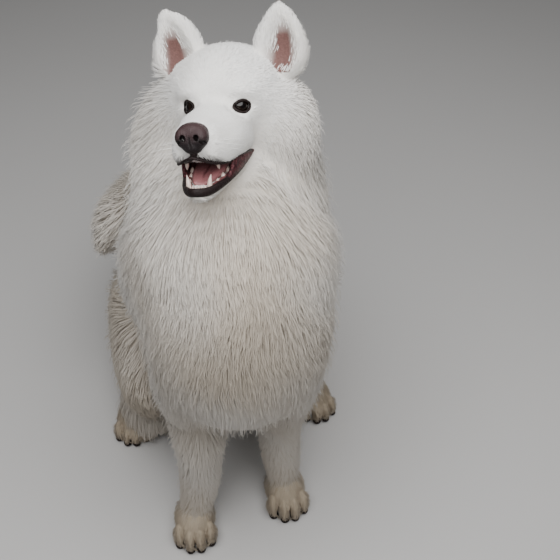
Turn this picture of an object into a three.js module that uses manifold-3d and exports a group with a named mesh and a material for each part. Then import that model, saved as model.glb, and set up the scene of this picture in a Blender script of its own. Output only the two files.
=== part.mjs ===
// A samoyed dog, life size, sitting upright with its head turned and its mouth open.
// Millimetres, +Z up. The dog faces -Y and +X is its left. The floor is z = 0.

import * as THREE from "three";
import { mergeVertices } from "three/addons/utils/BufferGeometryUtils.js";
import Module from "manifold-3d";

const wasm = await Module();
wasm.setup();
const { Manifold, Mesh: SolidMesh } = wasm;

// Driving dimensions

const GAP = 0.35; // between neighbouring pieces
const EYE_HEIGHT = 702;
const EYE_BACK = 100; // the eyes stand this far behind the middle of the forepaws
const HEAD_YAW = -24.1; // degrees, turned to the dog's right
const HEAD_PITCH = 28.2; // degrees, nose lifted
const HEAD_ROLL = -11.7;
const BODY_X = 10; // the trunk leans a little to the dog's left
const NECK_X = 14;
const CHEST_WIDTH = 304;
const HAUNCH_WIDTH = 300;
const NECK_WIDTH = 250;
const SKULL_WIDTH = 144;
const SKULL_HEIGHT = 126;
const CHEEK_REACH = 112; // from the middle of the head out to the tips of the cheek fur
const MUZZLE_LENGTH = 92; // from the eyes to the tip of the nose
const EYE_SPREAD = 28; // from the middle of the head to each eye
const EYE_RADIUS = 12.2;
const LID_THICKNESS = 2.6;
const NOSE_WIDTH = 37;
const NOSE_HEIGHT = 35;
const EAR_HEIGHT = 106; // tip above the line of the eyes
const EAR_SPREAD = 68; // middle of the head to each tip
const LEG_SPREAD = 73; // middle of the dog to each forepaw
const LEG_WIDTH = 62;
const PAW_WIDTH = 66;
const PAW_LENGTH = 84;
const WRIST_HEIGHT = 62; // where the paw's node ends
const ELBOW_HEIGHT = 238; // where the foreleg's node ends
const HAUNCH_HEIGHT = 300; // where the thigh's node ends
const HAUNCH_SIDE = 98; // where the thigh's node begins, from the middle
const TRUNK_COAT = 24; // how far the tips of the locks stand out from each core
const NECK_COAT = 24;
const THIGH_COAT = 18;
const LEG_COAT = 11;
const TAIL_COAT = 30;
const CHEEK_COAT = 16;
const FAR = 1500; // size of the blocks that part one node from the next
const LOCK_RINGS = 4; // facets along each lock, which has three round it

// Materials

const finish = (color, roughness) => new THREE.MeshStandardMaterial({ color, roughness, metalness: 0 });
const whiteCoat = finish(0xe6e3dc, 0.9);
const creamCoat = finish(0xe2d8c6, 0.9);
const noseLeather = finish(0x5d4443, 0.45);
const darkEye = finish(0x17100d, 0.05);
const tongueSkin = finish(0x96605e, 0.4);

// Solids

const vector = (x, y, z) => new THREE.Vector3(x, y, z);
const radians = THREE.MathUtils.degToRad;
const LEFTWARD = vector(1, 0, 0);

function toSolid(geometry) {
  geometry.deleteAttribute("normal");
  geometry.deleteAttribute("uv");
  const merged = mergeVertices(geometry, 1e-3);
  return new Manifold(
    new SolidMesh({
      numProp: 3,
      vertProperties: new Float32Array(merged.attributes.position.array),
      triVerts: new Uint32Array(merged.index.array),
    }),
  );
}

// The line through the stations, its two directions across, and its half sizes there.
function sectionAt(line, sizes, t, across) {
  const centre = line.getPoint(t);
  const along = line.getTangent(t);
  const side = across.clone().addScaledVector(along, -across.dot(along)).normalize();
  const deep = along.clone().cross(side);
  const size = sizes.getPoint(t);
  return { centre, along, side, deep, halfWidth: size.x, halfDepth: size.y };
}

function curvesOf(stations) {
  const smooth = (points) => new THREE.CatmullRomCurve3(points, false, "centripetal");
  return {
    line: smooth(stations.map(([x, y, z]) => vector(x, y, z))),
    sizes: smooth(stations.map((station) => vector(station[3], station[4], 0))),
  };
}

// A closed, rounded body along a line of stations [x, y, z, halfWidth, halfDepth].
// blunt is 2 for egg-shaped ends and more for fuller ones, boxy does the same for its section,
// roll turns the section's corners, and swell makes it fatter all round.
function form(stations, options = {}) {
  const { around = 16, rings = 12, blunt = 2.6, boxy = 2 } = options;
  const { roll = 0, swell = 0, across = LEFTWARD } = options;
  const fuller = (value) => Math.sign(value) * Math.abs(value) ** (2 / boxy);
  const { line, sizes } = curvesOf(stations);
  const geometry = new THREE.SphereGeometry(1, around, rings);
  const corners = geometry.attributes.position;
  for (let i = 0; i < corners.count; i += 1) {
    const height = corners.getY(i);
    const ring = Math.hypot(corners.getX(i), corners.getZ(i));
    const angle = Math.atan2(corners.getZ(i), corners.getX(i)) + radians(roll);
    const cos = ring > 1e-9 ? Math.cos(angle) : 1;
    const sin = ring > 1e-9 ? Math.sin(angle) : 0;
    const at = sectionAt(line, sizes, (1 - height) / 2, across);
    const full = Math.max(0, 1 - Math.abs(height) ** blunt) ** (1 / blunt);
    const point = at.centre
      .addScaledVector(at.along, -height * swell)
      .addScaledVector(at.side, (at.halfWidth + swell) * full * fuller(cos))
      .addScaledVector(at.deep, (at.halfDepth + swell) * full * fuller(sin));
    corners.setXYZ(i, point.x, point.y, point.z);
  }
  return toSolid(geometry);
}

// An egg shape: centre, half sizes, and a turn in degrees about x, y and z.
function egg(centre, half, { turn = [0, 0, 0], around = 16, rings = 10, swell = 0 } = {}) {
  const geometry = new THREE.SphereGeometry(1, around, rings);
  geometry.scale(half[0] + swell, half[1] + swell, half[2] + swell);
  geometry.applyMatrix4(new THREE.Matrix4().makeRotationFromEuler(new THREE.Euler(...turn.map(radians))));
  geometry.translate(...centre);
  return toSolid(geometry);
}

function block(low, high) {
  const size = high.map((value, axis) => value - low[axis]);
  const geometry = new THREE.BoxGeometry(...size);
  geometry.translate(...low.map((value, axis) => value + size[axis] / 2));
  return toSolid(geometry);
}

// The half of space on the far side of a plane, kept half a gap clear of it.
function beyond(point, direction) {
  const facing = vector(...direction).normalize();
  const geometry = new THREE.BoxGeometry(2 * FAR, 2 * FAR, 2 * FAR);
  geometry.translate(0, 0, FAR + GAP / 2);
  geometry.applyQuaternion(new THREE.Quaternion().setFromUnitVectors(vector(0, 0, 1), facing));
  geometry.translate(...point);
  return toSolid(geometry);
}

// Where a form's surface is, at t along it and an angle round it, and the way out of it.
function onForm(stations, { swell = 0, across = LEFTWARD } = {}) {
  const { line, sizes } = curvesOf(stations);
  return (t, angle) => {
    const at = sectionAt(line, sizes, t, across);
    const cos = Math.cos(radians(angle));
    const sin = Math.sin(radians(angle));
    const width = at.halfWidth + swell;
    const depth = at.halfDepth + swell;
    const point = at.centre
      .clone()
      .addScaledVector(at.side, width * cos)
      .addScaledVector(at.deep, depth * sin);
    const out = at.side.multiplyScalar(cos / width).addScaledVector(at.deep, sin / depth).normalize();
    return { point, out, along: at.along };
  };
}

// The same for an egg shape, with t running from its front to its back.
function onEgg(centre, half) {
  return (t, angle) => {
    const ring = Math.sin(Math.PI * t);
    const turn = radians(angle);
    const way = vector(ring * Math.cos(turn), -Math.cos(Math.PI * t), ring * Math.sin(turn));
    const size = vector(...half);
    const point = way.clone().multiply(size).add(vector(...centre));
    return { point, out: way.divide(size).normalize(), along: vector(0, 1, 0) };
  };
}

// Repeatable draws between -1 and 1.
function seeded(seed) {
  let state = seed;
  return () => {
    state = (state * 16807) % 2147483647;
    return (2 * state) / 2147483647 - 1;
  };
}

// One flat, tapered lock: rooted in the core, bending over to lie along the coat.
function lock({ point, out }, lie, { length, width, thick, stand, curve, swell = 0 }) {
  const flat = lie.clone().addScaledVector(out, -lie.dot(out)).normalize();
  const place = (forward, lift) => {
    const reach = forward * length;
    return point
      .clone()
      .addScaledVector(flat, reach)
      .addScaledVector(out, lift - reach ** 2 / (2 * curve));
  };
  // A swollen lock grows most at its sharp edges, or its sides would sink as they spread.
  const station = (spot, broad, deep) => [
    ...spot.toArray(),
    width * broad + 2.5 * swell,
    thick * deep + 0.5 * swell,
  ];
  return form(
    [
      station(place(-0.12, -thick * 1.4), 0.6, 0.8),
      station(place(0.28, stand * 0.4), 1, 1),
      station(place(0.66, stand * 0.85), 0.74, 0.7),
      station(place(1, stand), 0.08, 0.14),
    ],
    { around: 3, rings: LOCK_RINGS, roll: 90, swell, across: flat.clone().cross(out) },
  );
}

// Locks in staggered rows over a surface, each a little different from the next.
function locks(at, { rows, count, span, arc = [0, 360], lie, seed, skip = () => false, ...sizes }) {
  const draw = seeded(seed);
  const all = [];
  for (let row = 0; row < rows; row += 1) {
    for (let place = 0; place < count; place += 1) {
      const t = span[0] + ((span[1] - span[0]) * (row + 0.5 + 0.18 * draw())) / rows;
      const share = (place + 0.25 + 0.5 * (row % 2) + 0.14 * draw()) / count;
      const spot = at(t, arc[0] + (arc[1] - arc[0]) * share);
      const way = lie(spot).applyAxisAngle(spot.out, 0.2 * draw());
      const length = sizes.length * (1 + 0.14 * draw());
      const width = sizes.width * (1 + 0.1 * draw());
      if (!skip(spot.point)) {
        all.push(lock(spot, way, { ...sizes, length, width }));
      }
    }
  }
  return all;
}

const join = (...solids) => Manifold.union(solids.flat(Infinity));
const less = (solid, ...cutters) => solid.subtract(join(cutters));

function largest(solid) {
  const pieces = solid.decompose();
  return pieces.reduce((most, piece) => (piece.volume() > most.volume() ? piece : most));
}

// The head's own frame: origin midway between the eyes, -Y to the nose, +X to its left.

const headPose = new THREE.Matrix4()
  .makeRotationFromEuler(
    new THREE.Euler(radians(-HEAD_PITCH), radians(HEAD_ROLL), radians(HEAD_YAW), "ZXY"),
  )
  .setPosition(1, EYE_BACK, EYE_HEIGHT);
const headUnpose = headPose.clone().invert();
const inWorld = (solid) => solid.transform(headPose.elements);
const inHead = (solid) => solid.transform(headUnpose.elements);
const sides = { left: 1, right: -1 };

// Eyes and lids

const eyeCentre = (side) => [side * EYE_SPREAD, 9, -3.5];
const eye = (side, swell = 0) =>
  egg(eyeCentre(side), [EYE_RADIUS, EYE_RADIUS, EYE_RADIUS], { around: 10, rings: 8, swell });

function lids(side) {
  const shell = EYE_RADIUS + LID_THICKNESS;
  return egg(eyeCentre(side), [shell, shell, shell - 1], { around: 10, rings: 7 });
}

// The almond opening between the lids, its outer corner a little higher.
function eyeOpening(side) {
  const [x, y, z] = eyeCentre(side);
  return form(
    [
      [x - 13.5, y - 9, z - side * 1.2, 0.8, 14],
      [x, y - 15, z, 8, 12],
      [x + 13.5, y - 9, z + side * 1.2, 0.8, 14],
    ],
    { around: 10, rings: 8, blunt: 2, across: vector(0, 0, 1) },
  );
}

// Nose leather, with two nostrils and the groove between them

const noseCentre = [0, -MUZZLE_LENGTH + 8, -27];

function noseBody(swell = 0) {
  return egg(noseCentre, [NOSE_WIDTH / 2, 13, NOSE_HEIGHT / 2], { around: 14, rings: 8, swell });
}

function nostril(side) {
  const [x, y, z] = noseCentre;
  return form(
    [
      [x + side * 8, y - 16, z - 1, 3.6, 3.2],
      [x + side * 9, y - 8, z - 2, 3.2, 3.4],
      [x + side * 14, y - 7, z - 4, 2.2, 3],
      [x + side * 22, y - 4, z - 7, 1.2, 1.6],
    ],
    { around: 6, rings: 6, across: vector(0, 0, 1) },
  );
}

function noseLeatherSolid() {
  const [x, y, z] = noseCentre;
  const groove = egg([x, y - 13.5, z - 12], [1.1, 3.4, 9], { around: 6, rings: 5 });
  return largest(less(noseBody(), nostril(1), nostril(-1), groove));
}

// Upper head: skull, brow, cheeks and muzzle

function headCoat() {
  const skull = egg([0, 60, 3], [SKULL_WIDTH / 2, 70, SKULL_HEIGHT / 2], { around: 16, rings: 11 });
  const muzzle = form(
    [
      [0, 30, -22, 50, 40],
      [0, -10, -29, 43, 33],
      [0, -44, -33, 36, 27],
      [0, -72, -33, 30, 23],
      [0, -MUZZLE_LENGTH + 6, -34, 25, 19],
    ],
    { around: 14, rings: 9, blunt: 3, boxy: 2.6 },
  );
  const pieces = [skull, muzzle];
  for (const side of Object.values(sides)) {
    const cheekCentre = [side * 56, 74, -32];
    const cheekHalf = [CHEEK_REACH - 56 - CHEEK_COAT, 54 - CHEEK_COAT / 2, 68 - CHEEK_COAT];
    const back = () => vector(0.1 * side, 0.7, -0.7);
    const outside = side > 0 ? [-75, 45] : [135, 255];
    pieces.push(egg(cheekCentre, cheekHalf, { around: 10, rings: 7 }));
    pieces.push(
      locks(onEgg(cheekCentre, cheekHalf), {
        rows: 3, count: 2, span: [0.2, 0.8], arc: outside, lie: back, seed: 61 + side,
        length: 84, width: 30, thick: 7, stand: CHEEK_COAT, curve: 110,
      }),
    );
    pieces.push(egg([side * 24, 18, 12], [24, 24, 14], { turn: [0, side * 14, 0], around: 8, rings: 5 }));
    pieces.push(lids(side));
  }
  return join(pieces);
}

// Ears: a pricked, rounded triangle with an open cup facing forward

const EAR_BASE = { left: 62, right: 54 }; // the right ear stands closer in
const earBase = (side) => (side > 0 ? EAR_BASE.left : EAR_BASE.right);

function earBody(side, swell = 0) {
  const base = earBase(side);
  return form(
    [
      [side * base, 64, 18, 41, 23],
      [side * (base + 4), 61, 48, 38, 19],
      [side * (base + 6), 58, 74, 27, 13],
      [side * EAR_SPREAD, 57, 96, 14, 8],
      [side * (EAR_SPREAD + 1), 57, EAR_HEIGHT, 6, 5],
    ],
    { around: 12, rings: 9, blunt: 2.4, swell },
  );
}

function earCup(side) {
  const base = earBase(side);
  return form(
    [
      [side * (base + 1), 39, 22, 23, 14],
      [side * (base + 5), 41, 48, 27, 17],
      [side * (base + 7), 42, 74, 17, 13],
      [side * (EAR_SPREAD + 1), 46, 98, 4, 6],
    ],
    { around: 10, rings: 8 },
  );
}

const ear = (side) => largest(less(earBody(side), earCup(side)));

// Mouth: the space between the jaws, then the lower jaw, tongue and teeth

// A wedge that opens forward from the mouth's corners, with the hollow of the palate above it.
function mouthSpace() {
  const wedge = new THREE.Shape([
    new THREE.Vector2(22, -59),
    new THREE.Vector2(-140, -48),
    new THREE.Vector2(-140, -112),
    new THREE.Vector2(22, -61),
  ]);
  const gape = new THREE.ExtrudeGeometry(wedge, { depth: 68, bevelEnabled: false });
  gape.translate(0, 0, -34);
  gape.applyMatrix4(
    new THREE.Matrix4().makeBasis(vector(0, 1, 0), vector(0, 0, 1), vector(1, 0, 0)),
  );
  const palate = form(
    [
      [0, 16, -58, 24, 7],
      [0, -40, -55, 21, 10],
      [0, -78, -52, 15, 9],
    ],
    { around: 10, rings: 7, blunt: 3 },
  );
  return join(toSolid(gape), palate);
}

function jawBody(swell = 0) {
  return form(
    [
      [0, 52, -70, 36, 16],
      [0, 10, -74, 32, 15],
      [0, -35, -83, 25, 12],
      [0, -70, -90, 18, 10],
      [0, -88, -92, 12, 8],
    ],
    { around: 10, rings: 7, blunt: 3, swell },
  );
}

// The trough in the lower jaw that the tongue lies in.
function jawTrough() {
  return form(
    [
      [0, 30, -56, 22, 9],
      [0, -20, -66, 19, 10],
      [0, -76, -79, 9, 8],
    ],
    { around: 8, rings: 6 },
  );
}

function tongueBody(swell = 0) {
  return form(
    [
      [0, 24, -64, 17, 5],
      [0, -12, -68, 17, 6],
      [0, -46, -75, 13, 5],
      [0, -70, -81, 9, 4],
    ],
    { around: 8, rings: 7, swell },
  );
}

// One pointed tooth, rooted in the gum, its tip pointing up or down.
function tooth(x, y, z, height, radius, up, lean = 0) {
  return form(
    [
      [x, y, z - up * height * 0.5, radius, radius],
      [x, y, z, radius, radius],
      [x + lean, y, z + up * height * 0.6, radius * 0.6, radius * 0.6],
      [x + 2 * lean, y, z + up * height, radius * 0.15, radius * 0.15],
    ],
    { around: 4, rings: 3, blunt: 2 },
  );
}

function lowerTeeth() {
  const teeth = [];
  for (let place = -2.5; place <= 2.5; place += 1) {
    teeth.push(tooth(place * 3.4, -86 + Math.abs(place) * 1.2, -86, 6, 2, 1));
  }
  for (const side of Object.values(sides)) {
    teeth.push(tooth(side * 12.5, -79, -84, 14, 3.2, 1, side * 0.8));
    for (let place = 0; place < 2; place += 1) {
      teeth.push(tooth(side * (17 + place * 2.4), -58 + place * 14, -79 + place * 3.4, 7, 3.2, 1));
    }
  }
  return teeth;
}

function upperTeeth() {
  const teeth = [];
  for (let place = -2.5; place <= 2.5; place += 1) {
    teeth.push(tooth(place * 3.6, -80 + Math.abs(place) * 1.2, -48, 6, 2.1, -1));
  }
  for (const side of Object.values(sides)) {
    teeth.push(tooth(side * 15, -73, -46, 15, 3.2, -1, side * 0.6));
    for (let place = 0; place < 2; place += 1) {
      teeth.push(tooth(side * (20 + place * 2.6), -50 + place * 16, -50 - place, 7, 3.4, -1));
    }
  }
  return teeth;
}

const lowerJaw = () => largest(join(less(jawBody(), jawTrough(), tongueBody(GAP)), lowerTeeth()));
const tongue = () => tongueBody();

// Trunk, neck and legs

const trunkStations = [
  [BODY_X, 532, -64, 128, 84],
  [BODY_X, 466, 66, 140, 110],
  [BODY_X, 365, 185, CHEST_WIDTH / 2, 138],
  [BODY_X, 270, 280, CHEST_WIDTH / 2, 150],
  [BODY_X, 175, 375, CHEST_WIDTH / 2, 155],
  [BODY_X, 95, 455, CHEST_WIDTH / 2 - 3, 145],
  [BODY_X, 30, 520, CHEST_WIDTH / 2 - 36, 112],
  [BODY_X, 5, 545, CHEST_WIDTH / 2 - 60, 90],
];
const bibStations = [
  [BODY_X, 40, 575, 70, 60],
  [BODY_X, 18, 500, 116, 100],
  [BODY_X, 12, 420, 122, 110],
  [BODY_X, 14, 335, 112, 100],
  [BODY_X, 20, 255, 62, 56],
];

function trunkCoat() {
  const swell = -TRUNK_COAT;
  const hang = () => vector(0, 0.3, -1);
  const bibHang = ({ out }) => vector(-0.12 * Math.sign(out.x), -0.05, -1);
  const size = { thick: 9, stand: TRUNK_COAT, curve: 420 };
  return [
    form(trunkStations, { around: 12, rings: 9, blunt: 3, swell }),
    form(bibStations, { around: 12, rings: 7, blunt: 2.4, swell }),
    locks(onForm(trunkStations, { swell }), {
      rows: 4, count: 6, span: [0.2, 0.9], arc: [-30, 210], lie: hang, seed: 11,
      length: 150, width: 48, ...size,
    }),
    locks(onForm(trunkStations, { swell: swell - 14 }), {
      rows: 1, count: 4, span: [0.16, 0.22], arc: [-10, 190], lie: hang, seed: 13,
      length: 96, width: 52, thick: 10, stand: TRUNK_COAT, curve: 420,
    }),
    locks(onForm(bibStations, { swell }), {
      rows: 2, count: 6, span: [0.36, 0.74], arc: [-25, 205], lie: bibHang, seed: 12,
      length: 104, width: 38, ...size,
    }),
  ];
}

const neckStations = [
  [NECK_X - 4, 75, 430, NECK_WIDTH / 2 + 8, 148],
  [NECK_X - 2, 78, 495, NECK_WIDTH / 2 + 12, 160],
  [NECK_X - 1, 108, 556, NECK_WIDTH / 2 + 2, 122],
  [NECK_X, 156, 602, NECK_WIDTH / 2 - 8, 78],
  [NECK_X - 2, 172, 652, NECK_WIDTH / 2 - 36, 62],
  [NECK_X - 6, 176, 690, NECK_WIDTH / 2 - 65, 42],
];

function neckCoat() {
  const swell = -NECK_COAT;
  const ruff = ({ out }) => vector(0.15 * out.x, 0.15 * out.y, -1);
  const size = { thick: 9, stand: NECK_COAT, curve: 500 };
  return [
    form(neckStations, { around: 12, rings: 8, blunt: 4, swell }),
    locks(onForm(neckStations, { swell }), {
      rows: 3, count: 7, span: [0.12, 0.72], arc: [160, 380], lie: ruff, seed: 21,
      length: 125, width: 40, ...size,
    }),
    locks(onForm(neckStations, { swell }), {
      rows: 1, count: 5, span: [0.72, 0.92], arc: [0, 180], lie: ruff, seed: 22,
      length: 110, width: 36, ...size,
    }),
  ];
}

const haunchOuter = (side) => HAUNCH_WIDTH / 2 + (side > 0 ? -4 : 16);

function thighStations(side) {
  const outer = haunchOuter(side);
  return [
    [side * 70, 420, 70, 70, 70],
    [side * (outer - 62), 340, 130, 74, 110],
    [side * (outer - 58), 240, 150, 70, 110],
    [side * (outer - 48), 165, 165, 52, 84],
    [side * (outer - 40), 118, 185, 34, 50],
  ];
}

function thighCoat(side) {
  const swell = -THIGH_COAT;
  const breeches = () => vector(0.1 * side, 0.5, -0.85);
  const stations = thighStations(side);
  const outside = side > 0 ? [-60, 80] : [100, 240];
  const knee = [side * (haunchOuter(side) - 50), 215, 58];
  return [
    form(stations, { around: 10, rings: 7, blunt: 3, swell }),
    egg(knee, [52, 70, 62], { around: 8, rings: 6, swell: swell / 2 }),
    locks(onForm(stations, { swell }), {
      rows: 3, count: 3, span: [0.16, 0.95], arc: outside, lie: breeches, seed: 31 + side,
      skip: (point) => point.y > 250 && point.z < 150,
      length: 100, width: 42, thick: 8, stand: THIGH_COAT, curve: 130,
    }),
  ];
}

const LEG_LEAN = { left: 5, right: 18 }; // how far each foreleg leans inwards by the elbow

// Where each forepaw stands: the middle of the paw.
const forepawPlace = { left: [LEG_SPREAD, 24], right: [-LEG_SPREAD + 3, -10] };

function forelegStations(name) {
  const [x, y] = forepawPlace[name];
  const half = LEG_WIDTH / 2;
  const inward = -sides[name] * LEG_LEAN[name];
  return [
    [x, y + 6, 12, half - 4, half],
    [x + inward * 0.4, y + 10, 60, half - 4, half - 2],
    [x + inward * 0.75, y + 18, 100, half - 1, half + 2],
    [x + inward, y + 30, 170, half + 3, half + 12],
    [x + inward, 45, 255, half + 14, half + 26],
    [x + inward * 0.8, 30, 330, half + 20, half + 40],
    [x + inward * 0.6, 20, 390, half + 10, half + 30],
  ];
}

function forelegCoat(name) {
  const stations = forelegStations(name);
  const outward = sides[name] > 0 ? [-30, 110] : [70, 210];
  const feather = () => vector(0, 0.3, -1);
  return [
    form(stations, { around: 10, rings: 8, blunt: 4 }),
    locks(onForm(stations), {
      rows: 2, count: 3, span: [0.42, 0.85], arc: outward, lie: feather, seed: 41, length: 95,
      width: 24, thick: 7, stand: LEG_COAT, curve: 400,
    }),
  ];
}

// A paw: the pad block behind, four arched toes in front, and their claws.
function paw(x, y, { width, length, height, turn, swell = 0 }) {
  const toes = [];
  const half = width / 2;
  for (let toe = 0; toe < 4; toe += 1) {
    const place = toe - 1.5;
    const forward = Math.abs(place) > 1 ? 0.3 : 0.42;
    const toeX = place * half * 0.47;
    const toeY = -length * forward;
    const toeHalf = [half * 0.29, length * 0.2, height * 0.4];
    toes.push(egg([toeX, toeY, height * 0.36], toeHalf, { around: 6, rings: 4, swell }));
    toes.push(
      form(
        [
          [toeX, toeY - length * 0.1, height * 0.34, 2.6, 2.6],
          [toeX, toeY - length * 0.2, height * 0.26, 2.2, 2.4],
          [toeX, toeY - length * 0.25, height * 0.12, 0.7, 0.8],
        ],
        { around: 3, rings: 3, blunt: 2, swell },
      ),
    );
  }
  const padHalf = [half * 0.92, length * 0.44, height * 0.56];
  const pad = egg([0, length * 0.02, height * 0.46], padHalf, { around: 8, rings: 5, swell });
  const placed = new THREE.Matrix4().makeRotationZ(radians(turn)).setPosition(x, y, 0);
  return join(pad, toes).transform(placed.elements);
}

const forepaw = (name) =>
  paw(...forepawPlace[name], { width: PAW_WIDTH, length: PAW_LENGTH, height: 56, turn: sides[name] * 3 });

// Hind feet lie flat on the floor from the hock forward.
const hindToes = { left: [147, 200], right: [-152, 196] };

function hindFoot(name, swell = 0) {
  const [x, y] = hindToes[name];
  const shank = form(
    [
      [x * 0.86, y + 125, 34, 24, 30],
      [x * 0.92, y + 70, 27, 25, 27],
      [x * 0.98, y + 10, 26, 28, 26],
    ],
    { around: 8, rings: 6, swell },
  );
  return join(shank, paw(x, y, { width: 62, length: 78, height: 50, turn: sides[name] * 10, swell }));
}

// Tail, curled up over the rump and laid on the right flank

const tailStations = [
  [0, 455, 120, 46, 46],
  [-8, 500, 185, 60, 58],
  [-46, 482, 246, 64, 60],
  [-96, 426, 288, 62, 54],
  [-138, 366, 304, 52, 46],
  [-166, 326, 298, 26, 24],
];
const TAIL_ACROSS = vector(0.4, 0.2, 1);

function tailCoat(swell = 0) {
  const core = { swell: -TAIL_COAT, across: TAIL_ACROSS };
  const feather = ({ out, along }) => along.clone().addScaledVector(out, 0.2);
  return [
    form(tailStations, { around: 8, rings: 8, ...core, swell: swell - TAIL_COAT }),
    locks(onForm(tailStations, core), {
      rows: 5, count: 4, span: [0.02, 0.84], lie: feather, seed: 51,
      length: 106, width: 38, thick: 9, stand: TAIL_COAT, curve: 190, swell: 2 * swell,
    }),
  ];
}

// The whole coat in one, parted into nodes by thin cuts

const floor = beyond([0, 0, -GAP / 2], [0, 0, 1]);
const names = Object.keys(sides);
const faceOpenings = names.map((name) => eyeOpening(sides[name]));
const faceNeighbours = [
  noseBody(GAP),
  jawBody(GAP),
  tongueBody(GAP),
  ...names.map((name) => eye(sides[name], GAP)),
  ...names.map((name) => earBody(sides[name], GAP)),
];
const headSolid = inWorld(join(less(headCoat(), faceOpenings, mouthSpace()), upperTeeth()));
const bodySolid = join(
  trunkCoat(),
  neckCoat(),
  names.map((name) => thighCoat(sides[name])),
  names.map((name) => forelegCoat(name)),
);
const whole = less(
  join(headSolid, less(bodySolid, inWorld(mouthSpace()))),
  inWorld(join(faceNeighbours)),
  tailCoat(GAP),
  names.map((name) => hindFoot(name, GAP)),
).intersect(floor);

const headCut = { point: [0, 44, -89], direction: [0, 0.45, -0.9] }; // in the head's frame
const behindHead = inWorld(beyond(headCut.point, headCut.direction));
const headSide = inWorld(beyond(headCut.point, headCut.direction.map((value) => -value)));
const neckCut = { point: [0, 60, 505], direction: [0, -0.27, 0.96] };
const aboveShoulders = beyond(neckCut.point, neckCut.direction);
const belowNeck = beyond(neckCut.point, neckCut.direction.map((value) => -value));

const trunkWhole = whole.intersect(behindHead).intersect(belowNeck);
const gapped = (low, high, swell) =>
  block(
    low.map((value) => value - swell),
    high.map((value) => value + swell),
  );
const room = (side, low, high) => [
  [side > 0 ? low[0] : -high[0], low[1], low[2]],
  [side > 0 ? high[0] : -low[0], high[1], high[2]],
];
const KNEE_BACK = 107; // the forelegs stand in front of this, the thighs behind it
const thighRoom = (side, swell) =>
  gapped(...room(side, [HAUNCH_SIDE, KNEE_BACK + 1, -10], [400, 700, HAUNCH_HEIGHT]), swell);
const legRoom = (side, swell) =>
  gapped(...room(side, [5, -300, WRIST_HEIGHT], [300, KNEE_BACK, ELBOW_HEIGHT]), swell);
const pawRoom = (side, swell) =>
  gapped(...room(side, [5, -300, -10], [300, KNEE_BACK, WRIST_HEIGHT - GAP]), swell);

// Nodes

const headGroup = new THREE.Group();
headPose.decompose(headGroup.position, headGroup.quaternion, headGroup.scale);
const dog = new THREE.Group();
dog.add(headGroup);

function addNode(parent, name, solid, material) {
  const { vertProperties, triVerts } = solid.getMesh();
  const geometry = new THREE.BufferGeometry();
  geometry.setAttribute("position", new THREE.BufferAttribute(vertProperties, 3));
  geometry.setIndex(new THREE.BufferAttribute(triVerts, 1));
  const mesh = new THREE.Mesh(geometry, material);
  mesh.name = name;
  parent.add(mesh);
}

addNode(headGroup, "head", inHead(largest(whole.intersect(headSide))), whiteCoat);
addNode(headGroup, "nose", noseLeatherSolid(), noseLeather);
addNode(headGroup, "lower_jaw", lowerJaw(), whiteCoat);
addNode(headGroup, "tongue", tongue(), tongueSkin);
addNode(dog, "neck", largest(whole.intersect(behindHead).intersect(aboveShoulders)), whiteCoat);
addNode(
  dog,
  "torso",
  largest(
    less(
      trunkWhole,
      Object.values(sides).flatMap((side) => [thighRoom(side, 0), legRoom(side, 0), pawRoom(side, 0)]),
    ),
  ),
  whiteCoat,
);
for (const name of names) {
  const side = sides[name];
  const lower = legRoom(side, -GAP);
  addNode(headGroup, `eye_${name}`, eye(side), darkEye);
  addNode(headGroup, `ear_${name}`, ear(side), whiteCoat);
  addNode(dog, `thigh_${name}`, largest(trunkWhole.intersect(thighRoom(side, -GAP))), creamCoat);
  addNode(dog, `foreleg_${name}`, largest(trunkWhole.intersect(lower)), whiteCoat);
  const standing = forepaw(name).intersect(pawRoom(side, -GAP)).intersect(floor);
  addNode(dog, `forepaw_${name}`, largest(standing), creamCoat);
  addNode(dog, `hind_foot_${name}`, largest(hindFoot(name).intersect(floor)), creamCoat);
}
const tailCut = { point: [-60, 474, 268], direction: [-0.6, -0.7, 0.4] };
const tailWhole = join(tailCoat());
const beforeCut = beyond(tailCut.point, tailCut.direction.map((value) => -value));
const pastCut = beyond(tailCut.point, tailCut.direction);
addNode(dog, "tail_base", largest(tailWhole.intersect(beforeCut)), whiteCoat);
addNode(dog, "tail_plume", largest(tailWhole.intersect(pastCut)), whiteCoat);

// The origin is the middle of the floor under the dog.
const bounds = new THREE.Box3().setFromObject(dog);
const middle = bounds.getCenter(vector(0, 0, 0));
dog.position.set(-middle.x, -middle.y, 0);

export default dog;
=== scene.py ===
# A life-size samoyed, sitting with its head turned and its mouth open.
# The dog's own shape is written in millimetres in its design frame: the floor is z = 0, the
# dog faces -Y, +X is its left, and the origin lies on the floor between the forepaws. The
# head's parts are written in the head's frame, whose origin is midway between the eyes.

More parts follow.
